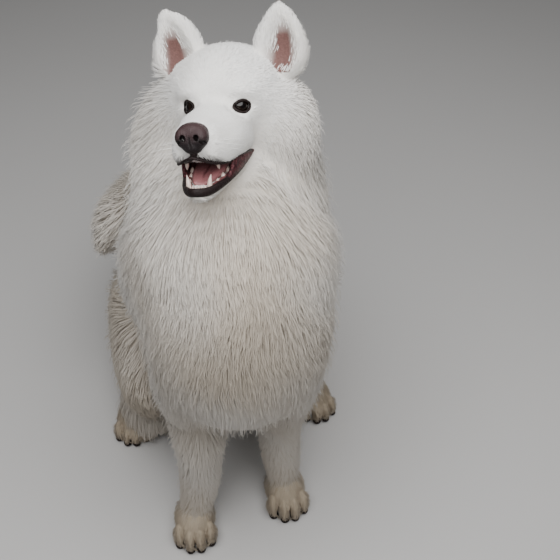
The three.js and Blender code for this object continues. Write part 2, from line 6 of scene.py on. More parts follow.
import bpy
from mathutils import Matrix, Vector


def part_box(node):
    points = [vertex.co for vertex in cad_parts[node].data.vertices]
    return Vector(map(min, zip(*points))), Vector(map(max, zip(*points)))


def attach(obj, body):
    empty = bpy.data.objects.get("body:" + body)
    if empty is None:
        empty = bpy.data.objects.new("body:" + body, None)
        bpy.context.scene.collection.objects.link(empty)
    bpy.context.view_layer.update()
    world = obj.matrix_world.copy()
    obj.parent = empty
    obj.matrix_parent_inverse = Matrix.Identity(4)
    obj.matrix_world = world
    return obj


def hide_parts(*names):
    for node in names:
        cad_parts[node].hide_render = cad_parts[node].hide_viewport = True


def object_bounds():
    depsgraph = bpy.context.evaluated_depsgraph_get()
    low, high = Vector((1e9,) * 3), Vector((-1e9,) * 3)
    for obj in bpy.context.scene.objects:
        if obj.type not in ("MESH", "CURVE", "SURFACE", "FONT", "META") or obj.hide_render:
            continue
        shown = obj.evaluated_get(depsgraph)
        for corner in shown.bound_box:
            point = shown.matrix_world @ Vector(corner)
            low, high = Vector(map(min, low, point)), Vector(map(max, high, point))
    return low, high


bl_info = {
    "name": "Samoyed Model",
    "version": (1, 0, 0),
    "blender": (4, 5, 0),
    "location": "3D View > Sidebar > Samoyed",
    "description": "A sitting samoyed with its skin, face, coat and studio stage",
    "category": "Add Mesh",
}

import math

import bpy
import numpy as np
import openvdb
from bpy.props import FloatProperty, FloatVectorProperty, PointerProperty
from mathutils import Matrix, Vector
from mathutils.kdtree import KDTree

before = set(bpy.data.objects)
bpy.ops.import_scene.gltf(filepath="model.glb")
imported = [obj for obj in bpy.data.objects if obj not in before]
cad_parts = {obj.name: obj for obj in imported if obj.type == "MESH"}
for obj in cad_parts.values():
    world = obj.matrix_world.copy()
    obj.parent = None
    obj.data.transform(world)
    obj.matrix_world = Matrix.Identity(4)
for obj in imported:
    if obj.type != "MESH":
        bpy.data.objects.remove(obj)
CAD_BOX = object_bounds()

# Driving dimensions, in millimetres and degrees

EYES = np.array([1.0, 100.0, 702.0])  # midway between the eyes
HEAD_YAW = -24.1
HEAD_PITCH = 28.2
HEAD_ROLL = -11.7
BODY_X = 10
NECK_X = 14
CHEST_HALF = 152
NECK_HALF = 125
HAUNCH_HALF = {1: 146, -1: 166}  # how far each haunch reaches, by side
LEG_HALF = 31
CHEEK_REACH = 112
NOSE_CENTRE = (0, -84, -27)
EYE_CENTRE = (25.4, 9.5, -5)
EYE_RADIUS = 12.2
EYE_HALF_WIDTH = 9.8  # of the opening between the lids
EYE_HALF_HEIGHT = 6.1
FOREPAWS = {1: (73, 24), -1: (-70, -10)}  # the middle of each, by side
FOREPAW_SIZE = (66, 84, 56)  # width, length, height
HIND_PAW_SIZE = (62, 78, 50)
LEG_LEAN = {1: 5, -1: 18}  # how far each foreleg leans inwards by the elbow
HIND_TOES = {1: (147, 200), -1: (-152, 196)}  # the middle of each hind paw's front part
EAR_BASE = {1: 62, -1: 54}  # sideways from the head's middle
EAR_TIP_SPREAD = 68
EAR_HEIGHT = 106
CLAW_LENGTH = 8.5
CLAW_RADIUS = 2
WHISKER_LENGTH = 26
WHISKER_RADIUS = 0.3

# The studio, in the same frame
CAMERA_PLACE = np.array([-62.2, -888.8, 1410])
CAMERA_YAW = 7.98843
CAMERA_PITCH = 45.2
CAMERA_LENS = 67.5
SENSOR_WIDTH = 36
LIGHT_PLACE = (0, -270, 1550)
LIGHT_TARGET = (0, 60, 560)
LIGHT_SIZE = 1.6  # metres
FLOOR_HALF = 6000

# How deep the skin lies under the tips of the coat
TRUNK_DEPTH = 15
NECK_DEPTH = 21
THIGH_DEPTH = 13
LEG_DEPTH = 5
PAW_DEPTH = 3
TAIL_DEPTH = 24
SKULL_DEPTH = 5
CHEEK_DEPTH = 15
MUZZLE_DEPTH = 2
EAR_DEPTH = 2.5

# Parts of the skin, as the "part" attribute of its points tells them apart
PARTS = range(16)
(TRUNK, CHEST, NECK, THIGH, FORELEG, FOREPAW, HIND_FOOT, TAIL, SKULL, MUZZLE, CHEEK, EAR,
 EAR_CUP, JAW, MOUTH, LIDS) = PARTS
SIDES = (1, -1)  # the dog's left and right


def turn_about(axis, degrees):
    """A 3 by 3 turn about x, y or z."""
    return np.array(Matrix.Rotation(math.radians(degrees), 3, axis))


HEAD_TURN = turn_about("Z", HEAD_YAW) @ turn_about("X", -HEAD_PITCH) @ turn_about("Y", HEAD_ROLL)


def from_head(points):
    """Points of the head's frame in the design frame."""
    return np.asarray(points, float) @ HEAD_TURN.T + EYES


def to_head(points):
    """Points of the design frame in the head's frame."""
    return (np.asarray(points, float) - EYES) @ HEAD_TURN


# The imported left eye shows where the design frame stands.
ORIGIN = np.array(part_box("eye_left")).mean(axis=0) * 1000 - from_head(EYE_CENTRE)


def placed(points):
    """Design millimetres to the frame's metres."""
    return (np.asarray(points, float) + ORIGIN) / 1000


def unit(vectors):
    """Vectors of length one."""
    vectors = np.asarray(vectors, float)
    return vectors / np.maximum(np.linalg.norm(vectors, axis=-1, keepdims=True), 1e-9)


def flow(rows, share):
    """Catmull-Rom values through rows, at shares from 0 to 1 of the way along."""
    rows = np.asarray(rows, float)
    padded = np.vstack([2 * rows[0] - rows[1], rows, 2 * rows[-1] - rows[-2]])
    place = np.clip(np.asarray(share, float), 0, 1) * (len(rows) - 1)
    first = np.minimum(place.astype(int), len(rows) - 2)
    step = (place - first)[:, None]
    a, b, c, d = (padded[first + k] for k in range(4))
    return 0.5 * (
        2 * b + (c - a) * step + (2 * a - 5 * b + 4 * c - d) * step**2
        + (3 * b - a - 3 * c + d) * step**3
    )


def frames_along(stations, across, share):
    """Centres, sizes and the side, deep and along directions of a line of stations."""
    rows = flow(stations, share)
    ahead = flow(stations, np.clip(share + 0.01, 0, 1)) - flow(stations, np.clip(share - 0.01, 0, 1))
    along = unit(ahead[:, :3])
    across = np.asarray(across, float)
    side = unit(across - along * (along @ across)[:, None])
    deep = np.cross(along, side)
    return rows[:, :3], rows[:, 3:], np.stack([side, deep, along], axis=1)


# Body forms: each is a list of eggs (centre, three directions as rows, three half sizes), set
# along stations (x, y, z, half width, half depth)

LEFTWARD = (1, 0, 0)
UPWARD = (0, 0, 1)
TAIL_ACROSS = (0.4, 0.2, 1)


def form(stations, blunt=2.6, swell=0.0, across=LEFTWARD, count=44, head=False):
    """A tapered, bending form as a close row of eggs."""
    share = np.linspace(0.04, 0.96, count)
    centres, sizes, turns = frames_along(stations, across, share)
    full = (1 - np.abs(1 - 2 * share) ** blunt) ** (1 / blunt)
    spacing = np.linalg.norm(np.gradient(centres, axis=0), axis=1)
    halves = np.column_stack([(sizes + swell) * full[:, None], 5 * spacing * full])
    if head:
        centres = from_head(centres)
        turns = turns @ HEAD_TURN.T
    return list(zip(centres, turns, np.maximum(halves, 1.5)))


def egg(centre, half, turn=None, swell=0.0, head=False):
    """One egg, turned by a matrix if given."""
    axes = np.eye(3) if turn is None else turn.T
    centre = np.array(centre, float)
    if head:
        centre = from_head(centre)
        axes = axes @ HEAD_TURN.T
    return [(centre, axes, np.array(half, float) + swell)]


TRUNK_STATIONS = [
    (BODY_X, 532, -64, 128, 84),
    (BODY_X, 466, 66, 140, 110),
    (BODY_X, 365, 185, CHEST_HALF, 138),
    (BODY_X, 270, 280, CHEST_HALF, 150),
    (BODY_X, 175, 375, CHEST_HALF, 155),
    (BODY_X, 95, 455, CHEST_HALF - 3, 145),
    (BODY_X, 30, 520, CHEST_HALF - 36, 112),
    (BODY_X, 5, 545, CHEST_HALF - 60, 90),
]
CHEST_STATIONS = [
    (BODY_X, 40, 575, 70, 60),
    (BODY_X, 18, 500, 116, 100),
    (BODY_X, 12, 420, 122, 110),
    (BODY_X, 14, 335, 112, 100),
    (BODY_X, 20, 255, 62, 56),
]
NECK_STATIONS = [
    (NECK_X - 4, 75, 430, NECK_HALF + 8, 148),
    (NECK_X - 2, 78, 495, NECK_HALF + 12, 160),
    (NECK_X - 1, 108, 556, NECK_HALF + 2, 122),
    (NECK_X, 156, 602, NECK_HALF - 8, 78),
    (NECK_X - 2, 172, 652, NECK_HALF - 36, 62),
    (NECK_X - 6, 176, 690, NECK_HALF - 65, 42),
]


def thigh_stations(side):
    """The haunch, from the rump forward and down to the knee."""
    outer = HAUNCH_HALF[side]
    return [
        (side * 70, 420, 70, 70, 70),
        (side * (outer - 62), 340, 130, 74, 110),
        (side * (outer - 58), 240, 150, 70, 110),
        (side * (outer - 48), 165, 165, 52, 84),
        (side * (outer - 40), 118, 185, 34, 50),
    ]


def foreleg_stations(side):
    """From the paw up into the shoulder."""
    x, y = FOREPAWS[side]
    half = LEG_HALF
    inward = -side * LEG_LEAN[side]
    return [
        (x, y + 6, 12, half - 4, half),
        (x + inward * 0.4, y + 10, 60, half - 4, half - 2),
        (x + inward * 0.75, y + 18, 100, half - 1, half + 2),
        (x + inward, y + 30, 170, half + 3, half + 12),
        (x + inward, 45, 255, half + 14, half + 26),
        (x + inward * 0.8, 30, 330, half + 20, half + 40),
        (x + inward * 0.6, 20, 390, half + 10, half + 30),
    ]


def shank_stations(side):
    """The hind foot's long back part, flat on the floor."""
    x, y = HIND_TOES[side]
    return [
        (x * 0.86, y + 125, 34, 24, 30),
        (x * 0.92, y + 70, 27, 25, 27),
        (x * 0.98, y + 10, 26, 28, 26),
    ]


TAIL_STATIONS = [
    (0, 455, 120, 46, 46),
    (-8, 500, 185, 60, 58),
    (-46, 482, 246, 64, 60),
    (-96, 426, 288, 62, 54),
    (-138, 366, 304, 52, 46),
    (-166, 326, 298, 26, 24),
]
MUZZLE_STATIONS = [
    (0, 30, -22, 50, 40),
    (0, -10, -29, 43, 33),
    (0, -44, -34, 36, 28),
    (0, -72, -34, 30, 24),
    (0, -88, -34, 25, 19),
]
# Lip lines from each corner of the mouth to its middle, with their half height and thickness
UPPER_LIP = [
    (36, 18, -57, 2.2, 2.0),
    (36.5, -8, -55, 1.3, 1.4),
    (34, -36, -55.5, 1.1, 1.2),
    (28, -61, -59, 0.9, 1.0),
    (19, -81, -56.5, 1.0, 1.0),
    (7, -92.5, -50.5, 1.2, 1.2),
    (0, -94.5, -48.5, 1.2, 1.2),
]
LOWER_LIP = [
    (36, 17, -59.5, 1.8, 1.8),
    (34, 0, -65.5, 2.2, 2.0),
    (30.5, -22, -73.2, 2.8, 2.4),
    (26.5, -45, -78.5, 3.4, 2.8),
    (20, -67, -83.5, 4.4, 3.2),
    (11.5, -83, -87, 5.0, 3.6),
    (0, -92, -86.5, 5.0, 3.8),
]


def whole_lip(half):
    """A lip's stations from the right corner of the mouth to the left one."""
    left = np.array(half, float)
    right = left * (-1, 1, 1, 1, 1)
    return np.vstack([right, left[-2::-1]])


def flew_stations(side):
    """The hanging edge of the upper lip."""
    return [(side * (x - 1), y, z + 11.5, 12.5, 6) for x, y, z, _, _ in UPPER_LIP[:5]]


JAW_STATIONS = [
    (0, 52, -70, 36, 16),
    (0, 10, -74, 32, 15),
    (0, -35, -83, 25, 12),
    (0, -70, -90, 18, 10),
    (0, -90, -92, 12, 8),
]
TROUGH_STATIONS = [
    (0, 30, -56, 24, 10),
    (0, -20, -66, 20, 11),
    (0, -78, -79, 10, 9),
]


def ear_stations(side):
    """From the skull up to the ear's tip."""
    base = EAR_BASE[side]
    return [
        (side * base, 64, 18, 41, 23),
        (side * (base + 4), 61, 48, 38, 19),
        (side * (base + 6), 58, 74, 28, 13),
        (side * EAR_TIP_SPREAD, 57, 94, 16, 8.5),
        (side * (EAR_TIP_SPREAD + 1), 57, EAR_HEIGHT - 1, 7.5, 5.5),
    ]


def ear_cup_stations(side):
    """The hollow in the front of the ear."""
    base = EAR_BASE[side]
    return [
        (side * (base + 1), 37, 18, 24, 15),
        (side * (base + 5), 40, 48, 29, 18),
        (side * (base + 7), 42, 74, 19, 14),
        (side * (EAR_TIP_SPREAD + 1), 46, 98, 5, 7),
    ]


def eye_axes(side):
    """The eye's directions in the head's frame: outwards to the ear, forwards and up."""
    ahead = unit((0.92 * side, -1, 0.1))
    outward = unit(np.cross((0, 0, 1), ahead)) * side
    return outward, ahead, np.cross(ahead, outward) * side


def eye_centre(side):
    """The middle of an eyeball in the head's frame."""
    return np.array(EYE_CENTRE) * (side, 1, 1)


def eye_edge(side, turn, grow=0.0, lift=0.6):
    """Points of the almond edge between the lids, a little off the eye's own round."""
    outward, ahead, upward = eye_axes(side)
    across = (EYE_HALF_WIDTH + grow) * np.cos(turn)
    rise = (EYE_HALF_HEIGHT + grow) * np.sin(turn) * (1 - 0.25 * np.cos(turn) ** 2) - 0.05 * across
    rise = rise - 0.9 * side
    depth = np.sqrt((EYE_RADIUS + lift) ** 2 - across**2 - rise**2)
    across, depth, rise = across[:, None], depth[:, None], rise[:, None]
    return eye_centre(side) + across * outward + depth * ahead + rise * upward


def near_ear_tip(local):
    """How near the ears' tips points of the head's frame are, from 0 to 1."""
    return np.clip((np.asarray(local, float)[:, 2] - 84) / 16, 0, 1)


def ear_strip(local):
    """Where the inside of an ear is bare, from 0 to 1, for points of the head's frame."""
    x, _, z = np.asarray(local, float).T
    base = np.where(x > 0, EAR_BASE[1], EAR_BASE[-1])
    height = (z - 14) / 80
    middle = base + 4 + 8 * np.clip(height, 0, 1)
    half = np.interp(height, [-0.1, 0.1, 0.5, 1.0], [20, 27, 22, 7])
    edge = np.clip(1.5 - 1.4 * np.abs(np.abs(x) - middle) / half, 0, 1)
    return edge * np.clip((1.0 - height) / 0.3, 0, 1)


def dark_hair(local):
    """Where the short hair is dark, under the nose and along the front of the upper lip."""
    lip = flow(UPPER_LIP, np.linspace(0.62, 1, 9))[:, :3]
    marks = np.vstack([lip, lip * (-1, 1, 1), [(0, -97, -43), (5, -95, -42), (-5, -95, -42)]])
    gap = np.linalg.norm(np.asarray(local, float)[:, None] - marks[None], axis=2).min(axis=1)
    return np.clip(1.3 - gap / 7, 0, 1)


def paws(side):
    """Part, place, size and turn of the two paws on a side."""
    yield FOREPAW, FOREPAWS[side], FOREPAW_SIZE, side * 3
    yield HIND_FOOT, HIND_TOES[side], HIND_PAW_SIZE, side * 10


def toes(width, length):
    """Where each toe's middle is, across and along, from the paw's own middle."""
    for place in (-1.5, -0.5, 0.5, 1.5):
        yield place * width / 2 * 0.47, -length * (0.3 if abs(place) > 1 else 0.42)


def paw_eggs(place, size, turn, swell):
    """A paw's pad and its four arched toes."""
    width, length, height = size
    half = width / 2
    spots = [((0, -length * 0.02, height * 0.44), (half * 0.92, length * 0.46, height * 0.54))]
    for across, front in toes(width, length):
        spots.append(((across, front, height * 0.36), (half * 0.31, length * 0.2, height * 0.4)))
    spin = turn_about("Z", turn)
    eggs = []
    for centre, halves in spots:
        eggs += egg(spin @ np.array(centre) + (*place, 0), halves, spin, swell)
    return eggs


# The skin as a distance field on a grid, closer set at the head and paws


def grid_lines():
    """The grid's places along x, y and z, each in stretches of from, to and step."""
    def line(*stretches):
        pieces = [np.arange(low, high, step) for low, high, step in stretches]
        return np.concatenate(pieces).astype(np.float32)

    return (
        line((-220, -100, 5.4), (-100, 140, 2.7), (140, 220, 5.4)),
        line((-150, -75, 6), (-75, 250, 2.8), (250, 620, 8)),
        line((-14, 63, 3.8), (63, 580, 9), (580, 860, 2.8)),
    )


def window(lines, low, high):
    """The slices of the grid that a box covers."""
    starts = [max(int(np.searchsorted(line, a)) - 1, 0) for line, a in zip(lines, low)]
    stops = [min(int(np.searchsorted(line, b)) + 1, len(line)) for line, b in zip(lines, high)]
    return tuple(slice(start, max(stop, start)) for start, stop in zip(starts, stops))


def eggs_field(lines, eggs, whole=None, margin=36.0):
    """The distance to a set of eggs, over the part of the grid that they reach or a given one."""
    reach = [np.sqrt((turn**2 * half[:, None] ** 2).sum(axis=0)) for _, turn, half in eggs]
    if whole is None:
        low = np.min([centre - size for (centre, _, _), size in zip(eggs, reach)], axis=0) - margin
        high = np.max([centre + size for (centre, _, _), size in zip(eggs, reach)], axis=0) + margin
        whole = window(lines, low, high)
    shape = [part.stop - part.start for part in whole]
    field = np.full(shape, margin, np.float32)
    local = [line[part] for line, part in zip(lines, whole)]
    for (centre, turn, half), size in zip(eggs, reach):
        cut = window(local, centre - size - margin, centre + size + margin)
        x, y, z = (line[part] - at for line, part, at in zip(local, cut, centre))
        x, y, z = x[:, None, None], y[None, :, None], z[None, None, :]
        near, steep = 0, 0
        for direction, extent in zip(turn.astype(np.float32), half.astype(np.float32)):
            value = (x * direction[0] + y * direction[1] + z * direction[2]) / extent
            near = near + value**2
            steep = steep + (value / extent) ** 2
        near = np.sqrt(near)
        distance = near * (near - 1) / np.sqrt(np.maximum(steep, 1e-9))
        distance = np.where(near < 1e-3, -half.min(), distance)
        field[cut] = np.minimum(field[cut], distance)
    return whole, field


FAR_OFF = 60.0  # the distance noted where no form is near


class Clay:
    """A distance field that forms are melted into and cut from."""

    def __init__(self, lines):
        self.lines = lines
        shape = [len(line) for line in lines]
        self.distance = np.full(shape, FAR_OFF, np.float32)
        self.part = np.zeros(shape, np.int8)

    def add(self, eggs, part, melt, hollow=None, lining=None):
        """Melt a form in, with a hollow of its own taken out of it first."""
        cut, field = eggs_field(self.lines, eggs)
        kinds = np.full(field.shape, part, np.int8)
        if hollow:
            _, inner = eggs_field(self.lines, hollow, cut)
            kinds[-inner > field] = lining
            field = np.maximum(field, -inner)
        old = self.distance[cut]
        weight = np.clip(0.5 + 0.5 * (old - field) / melt, 0, 1)
        self.part[cut] = np.where(field < old, kinds, self.part[cut])
        self.distance[cut] = old * (1 - weight) + field * weight - melt * weight * (1 - weight)

    def cut(self, eggs, part=None, melt=0.0):
        """Take a hollow out, with a rounded edge if it is to melt in."""
        cut, field = eggs_field(self.lines, eggs)
        old = self.distance[cut]
        if part is not None:
            self.part[cut] = np.where(-field > old, part, self.part[cut])
        extra = np.maximum(melt - np.abs(old + field), 0) ** 2 / (4 * melt) if melt else 0
        self.distance[cut] = np.maximum(old, -field) + extra

    def surface(self):
        """The surface's points, four-cornered faces and the part each point belongs to."""
        grid = openvdb.FloatGrid(FAR_OFF)
        grid.copyFromArray(self.distance)
        points, _, faces = grid.convertToPolygons(isovalue=0.0, adaptivity=0.0)
        nearest, shaped = [], []
        for line, values in zip(self.lines, points.T):
            nearest.append(np.clip(np.rint(values).astype(int), 0, len(line) - 1))
            shaped.append(np.interp(values, np.arange(len(line)), line))
        return np.column_stack(shaped), faces.astype(np.int64), self.part[tuple(nearest)]


def mouth_eggs():
    """The open space between the jaws, as a fan of flat eggs."""
    eggs = []
    upper = np.array(UPPER_LIP)[::-1]
    for share in np.linspace(0, 1, 13):
        y = 14 - 118 * share
        top = np.interp(y, upper[:, 1], upper[:, 2]) - 0.5
        bottom = -61 - 0.315 * (22 - y)
        eggs += egg((0, y, (top + bottom) / 2), (31 - 5 * share, 12, (top - bottom) / 2 + 1), head=True)
    return eggs


def build_skin_field():
    """The whole dog without its coat."""
    skin = Clay(grid_lines())
    skin.add(form(TRUNK_STATIONS, 3, -TRUNK_DEPTH, count=60), TRUNK, melt=10)
    skin.add(form(CHEST_STATIONS, 2.4, -TRUNK_DEPTH), CHEST, melt=20)
    skin.add(form(NECK_STATIONS, 4, -NECK_DEPTH), NECK, melt=34)
    for side in SIDES:
        hip = [side * (HAUNCH_HALF[side] - 50), 215, 58]
        skin.add(form(thigh_stations(side), 3, -THIGH_DEPTH), THIGH, melt=14)
        skin.add(egg(hip, (52, 70, 62), swell=-THIGH_DEPTH / 2), THIGH, melt=14)
        skin.add(form(shank_stations(side), 2.6, -PAW_DEPTH, count=20), HIND_FOOT, melt=10)
        skin.add(form(foreleg_stations(side), 4, -LEG_DEPTH), FORELEG, melt=14)
        for part, place, size, turn in paws(side):
            skin.add(paw_eggs(place, size, turn, -PAW_DEPTH), part, melt=13)
    skin.add(form(TAIL_STATIONS, 2.6, -TAIL_DEPTH, TAIL_ACROSS, count=60), TAIL, melt=12)
    skin.add(egg((0, 86, -48), (80, 44, 62), swell=-NECK_DEPTH / 2, head=True), NECK, melt=30)
    skin.add(egg((NECK_X + 54, 128, 588), (62, 66, 62), swell=-NECK_DEPTH / 2), NECK, melt=24)
    skin.add(egg((NECK_X, 168, 598), (98, 72, 98), swell=-NECK_DEPTH / 2), NECK, melt=45)

    skin.add(egg((0, 60, 3), (72, 70, 63), swell=-SKULL_DEPTH, head=True), SKULL, melt=30)
    skin.add(form(MUZZLE_STATIONS, 3, -MUZZLE_DEPTH, head=True), MUZZLE, melt=12)
    for side in SIDES:
        skin.add(form(flew_stations(side), 2.4, across=UPWARD, head=True), MUZZLE, melt=9)
    for side in SIDES:
        cheek_half = (CHEEK_REACH - 56, 54, 68)
        skin.add(egg((side * 56, 74, -32), cheek_half, swell=-CHEEK_DEPTH, head=True), CHEEK, melt=20)
        brow_turn = turn_about("Y", side * 14)
        skin.add(egg((side * 24, 18, 12), (24, 24, 14), brow_turn, -2, True), SKULL, melt=10)
    skin.cut(mouth_eggs(), MOUTH)
    trough = form(TROUGH_STATIONS, head=True)
    skin.add(form(JAW_STATIONS, 3, -1.5, head=True), JAW, melt=5, hollow=trough, lining=MOUTH)
    for side in SIDES:
        centre = eye_centre(side)
        outward, ahead, upward = eye_axes(side)
        turn = np.column_stack([outward, ahead, upward])
        skin.cut(egg(centre + 15 * ahead - 5 * outward, (15, 8, 10), turn, head=True), melt=9)
        skin.add(egg(centre, (EYE_RADIUS + 1.8,) * 3, head=True), LIDS, melt=6)
        opening = (EYE_HALF_WIDTH + 1.2, 18, EYE_HALF_HEIGHT + 1.2)
        skin.cut(egg(centre + 10 * ahead - 0.9 * side * upward, opening, turn, head=True), LIDS)
        ear = form(ear_stations(side), 2.4, -EAR_DEPTH, head=True)
        cup = form(ear_cup_stations(side), head=True)
        skin.add(ear, EAR, melt=5, hollow=cup, lining=EAR_CUP)
    return skin


def add_object(name, data):
    """A new object in the scene."""
    added = bpy.data.objects.new(name, data)
    bpy.context.scene.collection.objects.link(added)
    return added


def new_piece(name, points, quads=(), triangles=(), material=None):
    """A new object from design points and faces, placed in the frame."""
    quads = np.asarray(quads, np.int32).reshape(-1, 4)
    triangles = np.asarray(triangles, np.int32).reshape(-1, 3)
    corners = np.concatenate([quads.ravel(), triangles.ravel()])
    starts = np.append(np.arange(len(quads)) * 4, len(quads) * 4 + np.arange(len(triangles)) * 3)
    mesh = bpy.data.meshes.new(name)
    mesh.vertices.add(len(points))
    mesh.vertices.foreach_set("co", placed(points).astype(np.float32).ravel())
    mesh.loops.add(len(corners))
    mesh.loops.foreach_set("vertex_index", corners)
    mesh.polygons.add(len(starts))
    mesh.polygons.foreach_set("loop_start", starts.astype(np.int32))
    mesh.update(calc_edges=True)
    mesh.polygons.foreach_set("use_smooth", np.ones(len(starts), bool))
    if material:
        mesh.materials.append(material)
    return add_object(name, mesh)


def add_values(mesh, name, values):
    """A float attribute on the points."""
    layer = mesh.attributes.new(name, "FLOAT", "POINT")
    layer.data.foreach_set("value", np.asarray(values, np.float32))


def add_vectors(mesh, name, values):
    """A vector attribute on the points."""
    layer = mesh.attributes.new(name, "FLOAT_VECTOR", "POINT")
    layer.data.foreach_set("vector", np.asarray(values, np.float32).ravel())


def add_bake_map(mesh, coordinates):
    """The OFBake map, one pair of values for each face corner."""
    layer = mesh.uv_layers.new(name="OFBake")
    layer.uv.foreach_set("vector", np.asarray(coordinates, np.float32).ravel())


# The skin's unwrap: six charts, one for each way a face can look, for each group of parts

CHART_GROUPS = (
    (TRUNK, CHEST, NECK),
    (THIGH, FORELEG, FOREPAW, HIND_FOOT),
    (TAIL,),
    (SKULL, MUZZLE, CHEEK, JAW, MOUTH, LIDS),
    (EAR, EAR_CUP),
)
FIRST_HEAD_CHART = 3  # the last two groups are boxed in the head's frame
CHART_BOXES = (  # low and high corner of each group
    ((-190, -150, 0), (190, 620, 720)),
    ((-220, -80, -10), (220, 480, 420)),
    ((-230, 170, 60), (70, 580, 360)),
    ((-90, -100, -110), (90, 140, 80)),
    ((-110, 20, -10), (110, 100, 120)),
)
WAYS = 6  # towards +x, +y, +z, -x, -y and -z
CHART_MARGIN = 0.03


def charts_of(normals, parts):
    """The chart number of each point or face."""
    ways = np.argmax(np.concatenate([normals, -normals], axis=1), axis=1)
    group_of_part = np.zeros(len(PARTS), int)
    for number, members in enumerate(CHART_GROUPS):
        group_of_part[list(members)] = number
    return group_of_part[parts] * WAYS + ways


def unwrapped(points, charts):
    """Places on the unwrap for design points, by chart."""
    groups, ways = np.divmod(charts, WAYS)
    in_head = groups >= FIRST_HEAD_CHART
    local = np.where(in_head[:, None], to_head(points), points)
    low, high = np.array(CHART_BOXES, float)[groups].transpose(1, 0, 2)
    share = np.clip((local - low) / (high - low), 0, 1)
    row = np.arange(len(points))
    across = share[row, np.array([1, 0, 0])[ways % 3]]
    upward = share[row, np.array([2, 2, 1])[ways % 3]]
    usable = 1 - 2 * CHART_MARGIN
    column = (ways + CHART_MARGIN + usable * across) / WAYS
    line = (groups + CHART_MARGIN + usable * upward) / len(CHART_GROUPS)
    return np.column_stack([column, line])


# The coat: what each part's fur is like and which way it lies

COAT = {
    # part: length, height of the tips over the skin, width, tufts on a square centimetre
    TRUNK: (60, 11, 2.7, 6.0),
    CHEST: (60, 12, 1.9, 24.0),
    NECK: (56, 11, 1.9, 26.0),
    THIGH: (46, 9, 2.4, 8.5),
    FORELEG: (22, 6, 1.9, 12.5),
    FOREPAW: (13, 3.2, 1.6, 19.0),
    HIND_FOOT: (13, 3.2, 1.6, 14.0),
    TAIL: (66, 20, 2.1, 18.0),
    SKULL: (14, 2.8, 1.4, 40.0),
    MUZZLE: (14, 2.5, 1.3, 42.0),
    CHEEK: (34, 7.5, 1.7, 36.0),
    EAR: (11, 2.6, 1.3, 40.0),
    EAR_CUP: (13, 3.0, 1.2, 40.0),
    JAW: (14, 2.5, 1.3, 42.0),
    MOUTH: (14, 2.5, 1.3, 0.0),
    LIDS: (14, 2.5, 1.3, 0.0),
}
RINGS = 2  # of each tuft, under its tip
TUFTS_IN_LOCK = 11
LEAST_CLEARANCE = 0.05  # between a tuft and the floor
HIGHEST_TIP = 1.3  # how far off the skin a tip may stand, as a share of the coat's height
ROOT_SEED, TONE_SEED, FIRST_TUFT_SEED = 3, 8, 100
# Where each long face of a tuft looks at its first corner, its second and its tip
LEFT, RIGHT, UP, DOWN = range(4)
LOOKS = ((DOWN, DOWN, DOWN), (RIGHT, UP, UP), (UP, LEFT, UP))
MUZZLE_MIDDLE = (0, -15, -40)  # in the head's frame; the fur is shortest round it
LOOSE = 0.07  # share of thin tufts that stand out from the rest


def lie_of(points, parts):
    """Which way the coat lies at each point, before it is smoothed."""
    x, y, _ = points.T
    side = np.sign(x - BODY_X)
    head_side = np.clip(to_head(points)[:, 0] / 20, -1, 1)
    on_body = {
        TRUNK: (0.1 * side, 0.6 * np.clip((500 - y) / 100, 0, 1), -0.8),
        CHEST: (0.3 * (x - BODY_X) / CHEST_HALF, -0.2, -1),
        NECK: (0.2 * (x - NECK_X) / NECK_HALF, np.clip((y - 105) / 130, -0.7, 0.5), -1),
        THIGH: (0, np.clip((y - 220) / 80, -0.5, 0.6), -0.8),
        FORELEG: (0, 0.25, -1),
        FOREPAW: (0, -1, -0.5),
        HIND_FOOT: (0, -1, -0.25),
    }
    on_head = {
        SKULL: (0.3 * head_side, 1, -0.1),
        MUZZLE: (0.3 * head_side, 1, -0.1),
        CHEEK: (0.15 * head_side, 0.5, -1),
        EAR: (0.15 * head_side, -0.1, 1),
        EAR_CUP: (0.75 * head_side, -0.1, 1),
        JAW: (0, 1, -0.15),
        MOUTH: (0, 1, 0),
        LIDS: (0, 1, 0),
    }
    result = np.zeros_like(points)
    for ways, turn in ((on_body, np.eye(3)), (on_head, HEAD_TURN.T)):
        for part, way in ways.items():
            here = parts == part
            result[here] = (np.stack(np.broadcast_arrays(*way, x)[:3], 1) @ turn)[here]
    tail = parts == TAIL
    centres, _, turns = frames_along(TAIL_STATIONS, TAIL_ACROSS, np.linspace(0, 1, 40))
    gaps = ((points[tail][:, None] - centres) ** 2).sum(axis=2)
    result[tail] = turns[np.argmin(gaps, axis=1), 2] - (0, 0, 0.35)
    return unit(result)


def smoothed(values, edges, times):
    """Values on the points, evened out along the mesh's edges."""
    values = np.asarray(values, float)
    count = np.bincount(edges.ravel(), minlength=len(values))[:, None] + 1
    for _ in range(times):
        total = values.copy()
        for column in range(values.shape[1]):
            for start, end in (edges.T, edges.T[::-1]):
                total[:, column] += np.bincount(start, values[end, column], len(values))
        values = total / count
    return values


def waves(points, size, seed):
    """A gentle field of three values, about -1 to 1, that changes over a distance of size."""
    draw = np.random.default_rng(seed)
    field = np.zeros((len(points), 3))
    for _ in range(7):
        way = unit(draw.normal(size=3)) * 2 * np.pi / (size * draw.uniform(0.7, 1.6))
        phase = draw.uniform(0, 2 * np.pi, 3)
        field += np.sin((points @ way)[:, None] + phase)
    return field / 3


